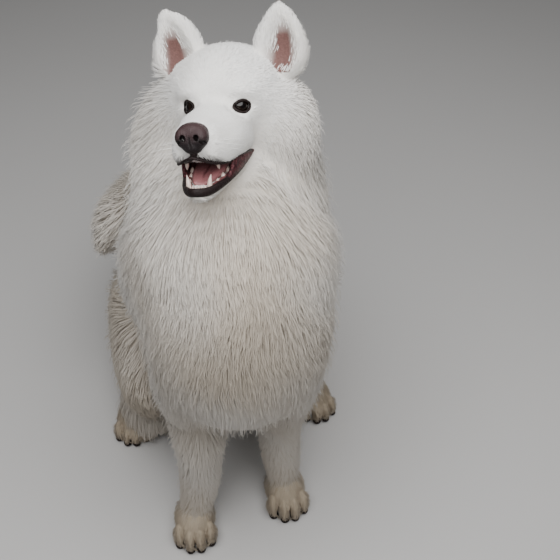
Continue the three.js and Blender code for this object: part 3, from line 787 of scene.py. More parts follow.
def read_skin(piece):
    """The skin's points in design millimetres, its normals, edges, triangles and parts."""
    mesh = piece.data
    mesh.calc_loop_triangles()

    def read(items, label, width, kind=np.float32):
        values = np.empty(len(items) * width, kind)
        items.foreach_get(label, values)
        return values.reshape(-1, width)

    points = read(mesh.vertices, "co", 3).astype(float) * 1000 - ORIGIN
    normals = read(mesh.vertex_normals, "vector", 3).astype(float)
    edges = read(mesh.edges, "vertices", 2, np.int32)
    triangles = read(mesh.loop_triangles, "vertices", 3, np.int32)
    parts = read(mesh.attributes["part"].data, "value", 1)
    return points, normals, edges, triangles, np.rint(parts[:, 0]).astype(int)


def scatter_roots(points, triangles, density, seed):
    """Roots spread evenly over triangles: their triangle and its three corner weights."""
    a, b, c = (points[triangles[:, k]] for k in range(3))
    area = np.linalg.norm(np.cross(b - a, c - a), axis=1) / 2 / 100
    wanted = area * density[triangles].mean(axis=1)
    total = np.cumsum(wanted)
    draw = np.random.default_rng(seed)
    marks = np.arange(0.5, total[-1], 1.0) + draw.uniform(-0.45, 0.45, int(np.ceil(total[-1] - 0.5)))
    chosen = np.searchsorted(total, np.clip(marks, 0, total[-1] - 1e-6))
    chosen = np.clip(chosen, 0, len(triangles) - 1)
    first, second = np.sqrt(draw.random(len(chosen))), draw.random(len(chosen))
    weights = np.column_stack([1 - first, first * (1 - second), first * second])
    return chosen, weights


# How high the tip of a line that bends evenly stands, as a share of its length
BEND = np.linspace(0.02, 1.5, 60)
RISE = (1 - np.cos(BEND)) / BEND


def tree_of(points):
    """A search tree over points."""
    tree = KDTree(len(points))
    for number, point in enumerate(points):
        tree.insert(Vector(point), number)
    tree.balance()
    return tree


def nearest_to(tree, points):
    """The number of the tree's point nearest to each point."""
    return np.array([tree.find(Vector(point))[1] for point in points])


def held_down(line, shares, height, skin):
    """Lines bent back towards the skin where their tips would stand far off it."""
    points, normals, tree = skin
    tips = line[:, -1]
    near = nearest_to(tree, tips)
    away = ((tips - points[near]) * normals[near]).sum(axis=1)
    extra = np.maximum(away - HIGHEST_TIP * height, 0)
    return line - normals[near][:, None, :] * (extra[:, None] * shares**2)[..., None]


def drawn_together(line, shares, length, pull):
    """Lines drawn towards the tip of the lock that they belong to."""
    leaders = line[::TUFTS_IN_LOCK, -1]
    reach = leaders[nearest_to(tree_of(leaders), line[:, -1])] - line[:, -1]
    limit = np.minimum(1, 0.35 * length / np.maximum(np.linalg.norm(reach, axis=1), 1e-6))
    reach = reach * (pull * limit)[:, None]
    return line + reach[:, None, :] * (shares**1.6)[None, :, None]


def tuft_faces():
    """A tuft's quads and triangles, and for each corner its ring and which way it looks."""
    quads, triangles, quad_looks, triangle_looks = [], [], [], []
    last = (RINGS - 1) * 3
    for corner, (first, second, third) in enumerate(LOOKS):
        following = (corner + 1) % 3
        for here in range(corner, last, 3):
            there = here - corner + following
            ring = here // 3
            quads.append((here, there, there + 3, here + 3))
            quad_looks += [(ring, first), (ring, second), (ring + 1, second), (ring + 1, first)]
        triangles.append((last + corner, last + following, RINGS * 3))
        triangle_looks += [(RINGS - 1, first), (RINGS - 1, second), (RINGS - 1, third)]
    triangles.append((2, 1, 0))
    triangle_looks += [(0, DOWN)] * 3
    return np.array(quads), np.array(triangles), np.array(quad_looks), np.array(triangle_looks)


def grow_tufts(root, normal, lie, length, height, width, pull, skin, seed):
    """Curved, tapered, three-sided tufts: points, faces, normals and shares along each."""
    draw = np.random.default_rng(seed)
    count = len(root)
    length = length * draw.uniform(0.75, 1.2, count)
    height = height * draw.uniform(0.85, 1.15, count)
    loose = draw.random(count) < LOOSE
    height = np.where(loose, 1.7 * height, height)
    width = np.where(loose, 0.6 * width, width)
    bend = np.interp(np.clip(height / length, 0.02, 0.6), RISE, BEND)[:, None]
    side = np.cross(normal, lie)
    sway = draw.normal(0, 0.08, count)[:, None]
    curl = draw.normal(0, 0.03, count)[:, None]
    phase = draw.uniform(0, 2 * np.pi, count)[:, None]
    shares = np.append(np.linspace(0, 0.8, RINGS), 1.0)
    left = 1 - shares[None, :]
    rise = (np.cos(bend * left) - np.cos(bend)) / bend
    ahead = (np.sin(bend) - np.sin(bend * left)) / bend
    drift = sway * shares**2 + curl * np.sin(5 * shares[None, :] + phase)
    line = root[:, None, :] + length[:, None, None] * (
        normal[:, None, :] * rise[..., None] + lie[:, None, :] * ahead[..., None]
        + side[:, None, :] * drift[..., None]
    )
    line = drawn_together(line, shares, length, pull)
    line = held_down(line, shares, height, skin)

    tangent = unit(np.gradient(line, axis=1))
    roll = draw.normal(0, 0.3, count)
    flat = unit(side * np.cos(roll)[:, None] + normal * np.sin(roll)[:, None])
    flat = unit(flat[:, None, :] - tangent * (tangent * flat[:, None, :]).sum(axis=2, keepdims=True))
    up = np.cross(tangent, flat)
    up = up * np.sign((up * normal[:, None, :]).sum(axis=2, keepdims=True) + 1e-9)
    taper = np.interp(shares, [0, 0.25, 0.6, 0.8, 1], [0.7, 1, 0.8, 0.5, 0.0])
    half = (width * draw.uniform(0.75, 1.25, count) / 2)[:, None, None] * taper[None, :, None]
    rows = line[:, :RINGS]
    spread = (flat * half)[:, :RINGS]
    lift = (up * half * 0.55)[:, :RINGS]
    rings = np.stack([rows - spread - 0.3 * lift, rows + spread - 0.3 * lift, rows + lift], axis=2)
    points = np.concatenate([rings.reshape(count, RINGS * 3, 3), line[:, -1:]], axis=1)
    points[..., 2] = np.maximum(points[..., 2], LEAST_CLEARANCE)

    quads, triangles, *looks = tuft_faces()
    step = np.arange(count)[:, None, None] * (RINGS * 3 + 1)
    # Shading normals lean towards the skin's, so that the coat looks soft, and faces that look
    # back at the skin take its mirrored normal.
    outward = unit(np.stack([0.35 * up - flat, 0.35 * up + flat, up, -up], axis=2)[:, :RINGS])
    below = normal[:, None, None, :]
    facing = (outward * below).sum(axis=3, keepdims=True)
    soft = unit(below - 2 * np.minimum(facing, 0) * outward + 0.15 * outward)
    normals = np.concatenate([soft[:, look[:, 0], look[:, 1]].reshape(-1, 3) for look in looks])
    along = np.append(np.repeat(shares[:RINGS], 3), 1.0)
    across = np.append(np.tile([-1.0, 1.0, 0.0], RINGS), 0.0)
    faces = ((quads + step).reshape(-1, 4), (triangles + step).reshape(-1, 3))
    return points.reshape(-1, 3), *faces, normals, along, across, length


COAT_PIECES = {
    "coat_trunk": (TRUNK,),
    "coat_chest": (CHEST,),
    "coat_ruff": (NECK,),
    "coat_thighs": (THIGH,),
    "coat_forelegs": (FORELEG,),
    "coat_feet": (FOREPAW, HIND_FOOT),
    "coat_tail": (TAIL,),
    "coat_skull": (SKULL,),
    "coat_muzzle": (MUZZLE, JAW),
    "coat_cheeks": (CHEEK,),
    "coat_ears": (EAR, EAR_CUP),
}
LARGEST_PIECE = 195000  # triangles
ROOT_DEPTH = 1.2  # of a tuft's foot in the skin
PATCH_HALF = 0.0015  # of a tuft's place on the bake map


def eased(value, low, high):
    """A smooth rise from 0 at one value to 1 at another."""
    share = np.clip((value - low) / (high - low), 0, 1)
    return share * share * (3 - 2 * share)


def coat_fields(points, normals, edges, parts, settings):
    """Length, height, width, density and lie of the coat at each point of the skin."""
    length, height, width, density = np.array([COAT[part] for part in PARTS], float)[parts].T.copy()
    x, _, z = points.T
    local = to_head(points)

    # From the muzzle back, the fur gets longer gradually.
    grown = eased(np.linalg.norm(local - MUZZLE_MIDDLE, axis=1), 50, 118)
    grown[~np.isin(parts, (SKULL, MUZZLE, CHEEK, JAW, LIDS, MOUTH, NECK))] = 1
    for values, least in ((length, 6), (height, 1.4), (width, 1.1)):
        values[:] = least + (values - least) * grown
    length *= 1 - 0.55 * near_ear_tip(local) * np.isin(parts, (EAR, EAR_CUP))
    # The chest's fringe and the fur under the ears, on the thighs' hem and at the tail's end are
    # shorter.
    fringe = (parts == CHEST) * np.clip((335 - z) / 80, 0, 1)
    upper_cheek = (parts == CHEEK) * eased(local[:, 2], -45, 5)
    length *= (1 - 0.6 * fringe) * (1 - 0.45 * upper_cheek)
    height *= (1 - 0.4 * fringe) * (1 - 0.4 * upper_cheek)
    length *= 1 - 0.4 * (parts == TAIL) * np.clip((-90 - x) / 60, 0, 1)
    # The forelegs are feathered at the back and longer-haired towards the shoulder.
    feather = np.clip((normals[:, 1] + 0.2) / 1.2, 0, 1) * np.clip((z - 90) / 120, 0, 1)
    grow = (parts == FORELEG) * np.maximum(feather, np.clip((z - 150) / 120, 0, 1))
    length += 30 * grow
    height += 5 * grow
    density -= 5 * grow
    length *= 1 - 0.55 * np.clip((60 - z) / 50, 0, 1) * (parts == THIGH)
    length, height, width = smoothed(np.column_stack([length, height, width]), edges, 40).T
    density = smoothed(density[:, None], edges, 10)[:, 0] * (1 - ear_strip(local) * (parts == EAR_CUP))
    density[np.isin(parts, (MOUTH, LIDS))] = 0
    lie = smoothed(lie_of(points, parts), edges, 110)
    lie = lie + 0.22 * waves(points, 90, 5) + 0.1 * waves(points, 38, 6)
    lie = unit(lie - normals * (lie * normals).sum(axis=1, keepdims=True))
    sizes = np.column_stack([length, height, width, density])
    return sizes * (settings.length, settings.fullness, 1, settings.density), lie


def add_coat_piece(name, tufts, uv, cream_and_shade, tone, dark, material):
    """One joined mesh of tufts, with its shading, colour attributes and bake map."""
    *shape, normals, along, across, length = tufts
    count = len(length)
    each = len(along)
    mesh = add_body(name, shape, material, "white_coat", head=False).data
    mesh.normals_split_custom_set(normals.astype(np.float32))
    add_values(mesh, "along", np.tile(along, count))
    for label, values in (("cream_and_shade", cream_and_shade), ("tone", tone), ("dark", dark)):
        add_values(mesh, label, np.repeat(values, each))
    strand = np.column_stack([
        np.tile(across, count) * 2.0 + np.repeat(tone, each) * 91,
        np.tile(along, count) * np.repeat(length, each) * 0.02,
        np.repeat(tone, each) * 37,
    ])
    add_vectors(mesh, "strand", strand)
    corners = np.concatenate([shape[1].ravel(), shape[2].ravel()])
    patch = PATCH_HALF * np.column_stack([np.tile(across, count), np.tile(along, count) * 2 - 1])
    add_bake_map(mesh, (np.repeat(uv, each, axis=0) + patch)[corners])


def grow_coat(skin, settings, material):
    """Every coat piece, from the skin's own points and parts."""
    points, normals, edges, triangles, parts = read_skin(skin)
    sizes, lie = coat_fields(points, normals, edges, parts, settings)
    chosen, weights = scatter_roots(points, triangles, sizes[:, 3], ROOT_SEED)

    def at_roots(values):
        return (values[triangles[chosen]] * weights[:, :, None]).sum(axis=1)

    roots = at_roots(points)
    normal = unit(at_roots(normals))
    way = at_roots(lie)
    way = unit(way - normal * (way * normal).sum(axis=1, keepdims=True))
    length, height, width, _ = at_roots(sizes).T
    length, height = kept_inside(roots, normal, way, length, height)
    part = parts[triangles[chosen, np.argmax(weights, axis=1)]]
    uv = unwrapped(roots, charts_of(normal, part))
    tone = np.random.default_rng(TONE_SEED).random(len(roots))
    # Biscuit tone and painted shade, carried from the skin to each tuft.
    warmth_and_shade = np.empty(len(points), np.float32)
    skin.data.attributes["cream_and_shade"].data.foreach_get("value", warmth_and_shade)
    cream_and_shade = at_roots(warmth_and_shade[:, None].astype(float))[:, 0]
    dark = dark_hair(to_head(roots)) * np.isin(part, (MUZZLE, JAW))
    under = (points, normals, tree_of(points))
    sunk = roots - normal * ROOT_DEPTH
    triangles_each = (RINGS - 1) * 6 + 4
    for number, (name, members) in enumerate(COAT_PIECES.items()):
        inside = np.flatnonzero(np.isin(part, members))
        pieces = max(1, math.ceil(len(inside) * triangles_each / LARGEST_PIECE))
        for index, own in enumerate(np.array_split(inside, pieces)):
            full_name = name if pieces == 1 else f"{name}_{index + 1}"
            tufts = grow_tufts(
                sunk[own], normal[own], way[own], length[own], height[own], width[own],
                settings.locks, under, FIRST_TUFT_SEED + 10 * number + index,
            )
            add_coat_piece(full_name, tufts, uv[own], cream_and_shade[own], tone[own], dark[own], material)


def kept_inside(roots, normal, way, length, height):
    """Lengths and heights, shortened step by step where a tuft would leave the dog's own box."""
    low, high = np.array(CAD_BOX) * 1000 - ORIGIN
    room = 0.015 * (high - low) + 1
    length, height = length.copy(), height.copy()
    for _ in range(12):
        tip = roots + way * length[:, None] * 1.1 + normal * height[:, None] * 1.1
        over, under = tip > high + room, tip < low - room
        outside = over.any(axis=1) | under[:, :2].any(axis=1)
        length[outside] *= 0.86
        height[outside] *= 0.9
    return length, height


# Biscuit tone by part: partly the coat's real warmer tone and partly painted shade, heavier on the
# cheeks, chest, legs and paws.
CREAM_AND_SHADE = {
    TRUNK: 0.36, CHEST: 0.4, NECK: 0.38, THIGH: 0.4, FORELEG: 0.25, FOREPAW: 0.95, HIND_FOOT: 0.8,
    TAIL: 0.3, SKULL: 0.06, MUZZLE: 0.0, CHEEK: 0.46, EAR: 0.1, EAR_CUP: 0.15, JAW: 0.15, MOUTH: 0.1,
    LIDS: 0.1,
}


def cream_and_shade_of(points, parts, edges):
    """How much biscuit tone the coat takes at each point of the skin, from 0 for white to 1 for full;
    the tone is dark, so it is partly painted shade.
    """
    x, y, z = points.T
    warm_and_shaded = np.array([CREAM_AND_SHADE[part] for part in PARTS])[parts]
    # Painted shade under the chin, as more biscuit tone on the front of the chest.
    bib_warmth_and_shade = np.exp(-(((x - 15) / 90) ** 2) - ((z - 545) / 85) ** 2) * (y < 60)
    # Painted shade: more biscuit tone towards the bottom, where less light falls.
    low = 0.32 * np.clip((500 - z) / 220, 0, 1)
    warm_and_shaded = smoothed((warm_and_shaded + 0.5 * bib_warmth_and_shade + low)[:, None], edges, 60)[:, 0]
    return np.clip(warm_and_shaded + 0.1 * waves(points, 120, 9)[:, 0], 0, 1)


# Materials

DARK_HAIR = (0.05, 0.045, 0.045)
LIP_BLOTCH = (0.01, 0.007, 0.007)


def feed(tree, socket, value):
    """Join a socket to another one, or set its value; a colour may leave out its alpha."""
    if isinstance(value, bpy.types.NodeSocket):
        tree.links.new(value, socket)
    elif socket.type == "RGBA" and len(value) == 3:
        socket.default_value = (*value, 1)
    else:
        socket.default_value = value


def add_node(tree, kind, inputs=None, **settings):
    """A new node with its inputs fed by name or place and some of its properties set."""
    node = tree.nodes.new(kind)
    for name, value in settings.items():
        setattr(node, name, value)
    for name, value in (inputs or {}).items():
        feed(tree, node.inputs[name], value)
    return node


def attribute(tree, name, output="Fac"):
    """A point attribute of the piece that the material is on."""
    return add_node(tree, "ShaderNodeAttribute", attribute_name=name).outputs[output]


def mixed(tree, factor, first, second, blend="MIX"):
    """A colour mix; each input is a socket or a plain value."""
    inputs = {0: factor, 6: first, 7: second}
    return add_node(tree, "ShaderNodeMix", inputs, data_type="RGBA", blend_type=blend).outputs[2]


def computed(tree, operation, *values):
    """A Math node; each input is a socket or a plain number."""
    return add_node(tree, "ShaderNodeMath", dict(enumerate(values)), operation=operation).outputs[0]


def noise(tree, scale, detail=2, place=None):
    """Noise on object coordinates, or on others if given."""
    place = place or add_node(tree, "ShaderNodeTexCoord").outputs["Object"]
    inputs = {"Scale": scale, "Detail": detail, "Vector": place}
    return add_node(tree, "ShaderNodeTexNoise", inputs).outputs["Fac"]


def pebbles(tree, scale):
    """Distance to the middle of each cell, on object coordinates."""
    place = add_node(tree, "ShaderNodeTexCoord").outputs["Object"]
    inputs = {"Scale": scale, "Vector": place}
    return add_node(tree, "ShaderNodeTexVoronoi", inputs).outputs["Distance"]


def new_group(name, inputs, outputs):
    """An empty shader group with named sockets: its tree, what it is given and what it puts out."""
    tree = bpy.data.node_groups.new(name, "ShaderNodeTree")
    for label, kind, value in inputs:
        socket = tree.interface.new_socket(label, in_out="INPUT", socket_type=kind)
        if value is not None:
            socket.default_value = value
    for label, kind in outputs:
        tree.interface.new_socket(label, in_out="OUTPUT", socket_type=kind)
    return tree, tree.nodes.new("NodeGroupInput").outputs, tree.nodes.new("NodeGroupOutput").inputs


def coat_group():
    """Fur colour and fine strands from a tuft's own attributes."""
    name = "Fur Strands"
    if name in bpy.data.node_groups:
        return bpy.data.node_groups[name]
    tree, given, made = new_group(
        name,
        [
            ("White", "NodeSocketColor", (0.85, 0.84, 0.82, 1)),
            ("Cream And Shade", "NodeSocketColor", (0.8, 0.72, 0.6, 1)),
            ("Root Shade", "NodeSocketColor", (0.85, 0.82, 0.77, 1)),
            ("Dark", "NodeSocketColor", (*DARK_HAIR, 1)),
            ("Variation", "NodeSocketFloat", 0.12),
        ],
        [("Color", "NodeSocketColor"), ("Height", "NodeSocketFloat")],
    )
    hairs = noise(tree, 1.6, place=attribute(tree, "strand", "Vector"))
    # Biscuit tone, partly painted shade, mixed into the white.
    colour = mixed(tree, attribute(tree, "cream_and_shade"), given["White"], given["Cream And Shade"])
    # Painted shade: each tuft darker towards its root, deep in the coat.
    depth = add_node(
        tree, "ShaderNodeMapRange",
        {"From Max": 0.55, "To Min": 1.0, "To Max": 0.0, "Value": attribute(tree, "along")},
        interpolation_type="SMOOTHSTEP",
    )
    shade = mixed(tree, depth.outputs["Result"], (1, 1, 1), given["Root Shade"])
    colour = mixed(tree, 1.0, colour, shade, "MULTIPLY")
    spread = computed(tree, "SUBTRACT", attribute(tree, "tone"), 0.5)
    fine = computed(tree, "SUBTRACT", hairs, 0.5)
    change = computed(tree, "MULTIPLY", computed(tree, "ADD", spread, fine), given["Variation"])
    brightness = computed(tree, "ADD", change, 1.0)
    grey = add_node(tree, "ShaderNodeCombineColor", dict.fromkeys(range(3), brightness))
    colour = mixed(tree, 1.0, colour, grey.outputs[0], "MULTIPLY")
    colour = mixed(tree, attribute(tree, "dark"), colour, given["Dark"])
    feed(tree, made["Color"], colour)
    feed(tree, made["Height"], hairs)
    return tree


def new_material(name, roughness, **values):
    """A material's tree and shader, with constants set on the Principled BSDF's own sockets."""
    material = bpy.data.materials.new(name)
    material.use_nodes = True
    shader = material.node_tree.nodes["Principled BSDF"]
    shader.inputs["Roughness"].default_value = roughness
    for label, value in values.items():
        shader.inputs[label.replace("_", " ")].default_value = value
    return material, material.node_tree, shader


def paint(tree, shader, colour, height=None, strength=0.0, distance=0.0):
    """Give a shader its colour and, with a height, its relief."""
    feed(tree, shader.inputs["Base Color"], colour)
    if height is not None:
        relief = {"Strength": strength, "Distance": distance, "Height": height}
        feed(tree, shader.inputs["Normal"], add_node(tree, "ShaderNodeBump", relief).outputs["Normal"])


def coat_material(settings):
    """The fur of every coat piece, with its strands as relief."""
    material, tree, shader = new_material(
        "samoyed coat", 0.85, Sheen_Weight=0.15, Sheen_Roughness=0.5, Specular_IOR_Level=0.2,
    )
    values = {
        "White": settings.white, "Cream And Shade": settings.cream_and_shade, "Root Shade": settings.root,
        "Variation": 0.05,
    }
    fur = add_node(tree, "ShaderNodeGroup", values, node_tree=coat_group())
    paint(tree, shader, fur.outputs["Color"], fur.outputs["Height"], 0.25, 0.0006)
    return material


def skin_material(settings):
    """Skin under the fur: pale at the root of the coat with painted shade from the root colour, and
    short hairs drawn as relief.
    """
    material, tree, shader = new_material("samoyed skin", 0.8)
    hairs = noise(tree, 420, 3)
    # Biscuit tone, partly painted shade, as on the coat.
    tips = mixed(tree, attribute(tree, "cream_and_shade"), settings.white, settings.cream_and_shade)
    # Painted shade: the skin between the tufts partly darkened by the root colour.
    short = mixed(tree, hairs, mixed(tree, 1.0, tips, settings.root, "MULTIPLY"), tips)
    bare = mixed(tree, hairs, (0.085, 0.037, 0.032), (0.18, 0.088, 0.075))
    colour = mixed(tree, attribute(tree, "ear_inside"), short, bare)
    colour = mixed(tree, attribute(tree, "mouth_inside"), colour, (0.06, 0.02, 0.022))
    colour = mixed(tree, attribute(tree, "dark"), colour, DARK_HAIR)
    paint(tree, shader, colour, hairs, 0.5, 0.001)
    return material


def moist_group():
    """Moist skin: blotchy colour between two tones, fine grain and uneven wetness."""
    name = "Moist Skin"
    if name in bpy.data.node_groups:
        return bpy.data.node_groups[name]
    tree, given, made = new_group(
        name,
        [
            ("Tone", "NodeSocketColor", (0.1, 0.05, 0.05, 1)),
            ("Blotch", "NodeSocketColor", (0.05, 0.02, 0.02, 1)),
            ("Grain", "NodeSocketFloat", 900.0),
            ("Dry", "NodeSocketFloat", 0.5),
        ],
        [("Color", "NodeSocketColor"), ("Roughness", "NodeSocketFloat"), ("Height", "NodeSocketFloat")],
    )
    blotches = noise(tree, 160, 4)
    feed(tree, made["Color"], mixed(tree, blotches, given["Tone"], given["Blotch"]))
    wet = computed(tree, "MULTIPLY", blotches, given["Dry"])
    feed(tree, made["Roughness"], computed(tree, "ADD", wet, 0.12))
    feed(tree, made["Height"], pebbles(tree, given["Grain"]))
    return tree


def moist_material(name, tone, blotch, grain, dry, relief, **values):
    """A material of moist skin, and its colour for a second tone to be laid over."""
    material, tree, shader = new_material(name, 0.4, **values)
    values = {"Tone": tone, "Blotch": blotch, "Grain": grain, "Dry": dry}
    group = add_node(tree, "ShaderNodeGroup", values, node_tree=moist_group())
    feed(tree, shader.inputs["Roughness"], group.outputs["Roughness"])
    paint(tree, shader, group.outputs["Color"], group.outputs["Height"], relief, 0.0006)
    return material, tree, shader, group.outputs["Color"]


def lip_material(name):
    """Near-black bare skin, for the eyes' rims and the paws' pads."""
    return moist_material(
        name, (0.02, 0.012, 0.011), LIP_BLOTCH, 1300, 0.8, 0.3, Specular_IOR_Level=0.15,
    )[0]


def lining_material():
    """Near-black lips that turn maroon inside, with pinker gums."""
    material, tree, shader, colour = moist_material(
        "samoyed mouth lining", (0.02, 0.012, 0.012), LIP_BLOTCH, 520, 0.7, 0.9,
        Specular_IOR_Level=0.15,
    )
    cells = computed(tree, "MULTIPLY", pebbles(tree, 330), 1.4)
    flesh = mixed(tree, cells, (0.17, 0.055, 0.062), (0.03, 0.01, 0.012))
    tint_and_shade = attribute(tree, "tint_and_shade")
    colour = mixed(tree, computed(tree, "MINIMUM", tint_and_shade, 1.0), colour, flesh)
    gum = computed(tree, "MAXIMUM", computed(tree, "SUBTRACT", tint_and_shade, 1.0), 0.0)
    paint(tree, shader, mixed(tree, gum, colour, (0.22, 0.09, 0.09)))
    return material


def tongue_material():
    """Muted pink, with painted shade darker in the groove."""
    material, tree, shader, colour = moist_material(
        "samoyed tongue", (0.36, 0.15, 0.155), (0.26, 0.1, 0.105), 1500, 0.6, 0.5,
        Coat_Weight=0.25, Coat_Roughness=0.2,
    )
    # Painted shade in the groove along the tongue's middle.
    inputs = {"From Min": 0.1, "From Max": 1.0, "Value": attribute(tree, "tint_and_shade")}
    groove = add_node(tree, "ShaderNodeMapRange", inputs)
    paint(tree, shader, mixed(tree, groove.outputs["Result"], colour, (0.11, 0.035, 0.038)))
    return material


def nose_material():
    """Pebbled leather, reddish brown on top and near black below, with painted shade near black in the
    nostrils and the groove.
    """
    material, tree, shader, colour = moist_material(
        "samoyed nose", (0.052, 0.028, 0.029), (0.03, 0.016, 0.017), 800, 0.6, 0.9,
        Specular_IOR_Level=0.3,
    )
    dark = mixed(tree, attribute(tree, "level"), (0.014, 0.01, 0.011), colour)
    # Painted shade: the nostrils and the groove between them are near black.
    paint(tree, shader, mixed(tree, attribute(tree, "tint_and_shade"), dark, (0.008, 0.005, 0.005)))
    return material


def mottled_material(name, roughness, scale, detail, first, second, relief=0.0, **values):
    """A smooth material whose colour drifts between two tones."""
    material, tree, shader = new_material(name, roughness, **values)
    drift = noise(tree, scale, detail)
    height = drift if relief else None
    paint(tree, shader, mixed(tree, drift, first, second), height, relief, 0.0004)
    return material


def tooth_material():
    """Creamy enamel, glossy and a little uneven."""
    return mottled_material(
        "samoyed teeth", 0.2, 220, 3, (0.74, 0.62, 0.54), (0.58, 0.43, 0.38), 0.1,
        Coat_Weight=0.5, Coat_Roughness=0.1,
    )


def horn_material():
    """Dull grey-brown horn."""
    return mottled_material("samoyed claws", 0.35, 400, 3, (0.24, 0.2, 0.17), (0.45, 0.39, 0.34))


def whisker_material():
    """Stiff white hair."""
    return mottled_material("samoyed whiskers", 0.4, 60, 2, (0.8, 0.78, 0.75), (0.9, 0.89, 0.87))


def floor_material(colour):
    """A plain floor, a little darker in places."""
    darker = tuple(0.96 * value for value in colour)
    return mottled_material("studio floor", 0.6, 3, 4, darker, colour)


def eye_material():
    """A dark brown iris round a black pupil, under a clear, wet coat."""
    material, tree, shader = new_material(
        "samoyed eyes", 0.12, Specular_IOR_Level=0.2, Coat_Weight=0.4, Coat_Roughness=0.03,
    )
    bands = add_node(tree, "ShaderNodeValToRGB", {"Fac": attribute(tree, "gaze")})
    stops = [
        (0.0, (0.002, 0.002, 0.003, 1)),
        (0.29, (0.003, 0.002, 0.003, 1)),
        (0.34, (0.016, 0.008, 0.005, 1)),
        (0.56, (0.012, 0.006, 0.004, 1)),
        (0.64, (0.004, 0.003, 0.003, 1)),
        (0.9, (0.05, 0.035, 0.03, 1)),
    ]
    while len(bands.color_ramp.elements) < len(stops):
        bands.color_ramp.elements.new(0.5)
    for element, (place, colour) in zip(bands.color_ramp.elements, stops):
        element.position = place
        element.color = colour
    streaks = noise(tree, 700, 3)
    paint(tree, shader, mixed(tree, streaks, bands.outputs["Color"], (0.006, 0.004, 0.003)))
    return material


# The skin

BODY_NODES = [
    "head", "neck", "torso", "lower_jaw", "ear_left", "ear_right", "thigh_left", "thigh_right",
    "foreleg_left", "foreleg_right", "forepaw_left", "forepaw_right", "hind_foot_left",
    "hind_foot_right", "tail_base", "tail_plume",
]


def add_skin(settings):
    """The skin, with the part and bareness of each point and the unwrap of its own shape."""
    field = build_skin_field()
    points, quads, part = field.surface()
    lowest = points[:, 2] < 0
    points[lowest, 2] = 0
    piece = new_piece("skin", points, quads, material=skin_material(settings))
    mesh = piece.data
    add_values(mesh, "part", part)
    local = to_head(points)
    # Biscuit tone and painted shade for the skin and the coat.
    add_values(mesh, "cream_and_shade", cream_and_shade_of(points, np.rint(part).astype(int), edges_of(quads)))
    add_values(mesh, "ear_inside", ear_strip(local) * (part == EAR_CUP))
    add_values(mesh, "mouth_inside", part == MOUTH)
    add_values(mesh, "dark", dark_hair(local) * np.isin(part, (MUZZLE, JAW, MOUTH)))
    normals = np.empty(len(mesh.polygons) * 3, np.float32)
    mesh.polygon_normals.foreach_get("vector", normals)
    charts = charts_of(normals.reshape(-1, 3).astype(float), part[quads[:, 0]])
    corners = quads.ravel()
    add_bake_map(mesh, unwrapped(points[corners], np.repeat(charts, 4)))
    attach(piece, "root")
    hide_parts(*BODY_NODES)


# Bodies made of rings, written in the head's frame


def loft(rings, closed=False):
    """Faces over rings of points, with a pole at each end or joined end to end."""
    count, around = rings.shape[:2]
    points = rings.reshape(-1, 3)
    here = np.arange(around)
    there = (here + 1) % around
    quads = []
    for ring in range(count if closed else count - 1):
        low = ring * around
        high = (ring + 1) % count * around
        quads.append(np.column_stack([low + here, low + there, high + there, high + here]))
    quads = np.concatenate(quads)
    triangles = np.empty((0, 3), int)
    if not closed:
        first = len(points)
        points = np.vstack([points, rings[0].mean(axis=0), rings[-1].mean(axis=0)])
        last = (count - 1) * around
        start = np.column_stack([there, here, np.full(around, first)])
        end = np.column_stack([last + here, last + there, np.full(around, first + 1)])
        triangles = np.vstack([start, end])
    a, b, c = points[quads[:, 0]], points[quads[:, 1]], points[quads[:, 2]]
    if (np.cross(a, b) * c).sum() < 0:
        quads, triangles = quads[:, ::-1], triangles[:, ::-1]
    return points, quads, triangles


def tube(stations, around=12, steps=14, across=LEFTWARD, blunt=2.2):
    """A closed, rounded, bending body through stations."""
    share = (1 - np.cos(np.linspace(0.02, 1, steps) * np.pi * 0.99)) / 2
    centres, sizes, turns = frames_along(stations, across, share)
    full = (1 - np.abs(1 - 2 * share) ** blunt) ** (1 / blunt)
    angle = np.linspace(0, 2 * np.pi, around, endpoint=False)
    sides = (sizes[:, :1] * full[:, None] * np.cos(angle))[..., None] * turns[:, None, 0]
    deeps = (sizes[:, 1:2] * full[:, None] * np.sin(angle))[..., None] * turns[:, None, 1]
    return loft(centres[:, None] + sides + deeps)


def loop(path, outward, wide, deep, around=10):
    """A closed ring of even thickness along a path, with its outward side given."""
    along = unit(np.roll(path, -1, axis=0) - np.roll(path, 1, axis=0))
    out = unit(outward - along * (along * outward).sum(axis=1, keepdims=True))
    flank = np.cross(along, out)
    angle = np.linspace(0, 2 * np.pi, around, endpoint=False)[None, :, None]
    across = wide * np.cos(angle) * flank[:, None]
    return loft(path[:, None] + across + deep * np.sin(angle) * out[:, None], closed=True)


def joined(bodies):
    """Several bodies as one set of points, quads and triangles."""
    points, quads, triangles = [], [], []
    start = 0
    for body_points, body_quads, body_triangles in bodies:
        points.append(body_points)
        quads.append(body_quads + start)
        triangles.append(body_triangles + start)
        start += len(body_points)
    return np.vstack(points), np.vstack(quads), np.vstack(triangles)


def add_body(name, body, material, slot, *nodes, head=True):
    """A finished piece, from geometry in the head's frame unless told otherwise."""
    points, quads, triangles = body
    piece = new_piece(name, from_head(points) if head else points, quads, triangles, material)
    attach(piece, "root")
    if nodes:
        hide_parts(*nodes)
    return piece


def fine_clay(low, high, step):
    """Clay on a fine grid over a box of the head's frame."""
    return Clay(tuple(np.arange(a, b, step, dtype=np.float32) for a, b in zip(low, high)))


def edges_of(quads):
    """The four sides of each quad, as pairs of points."""
    return np.vstack([quads[:, [0, 1]], quads[:, [1, 2]], quads[:, [2, 3]], quads[:, [3, 0]]])


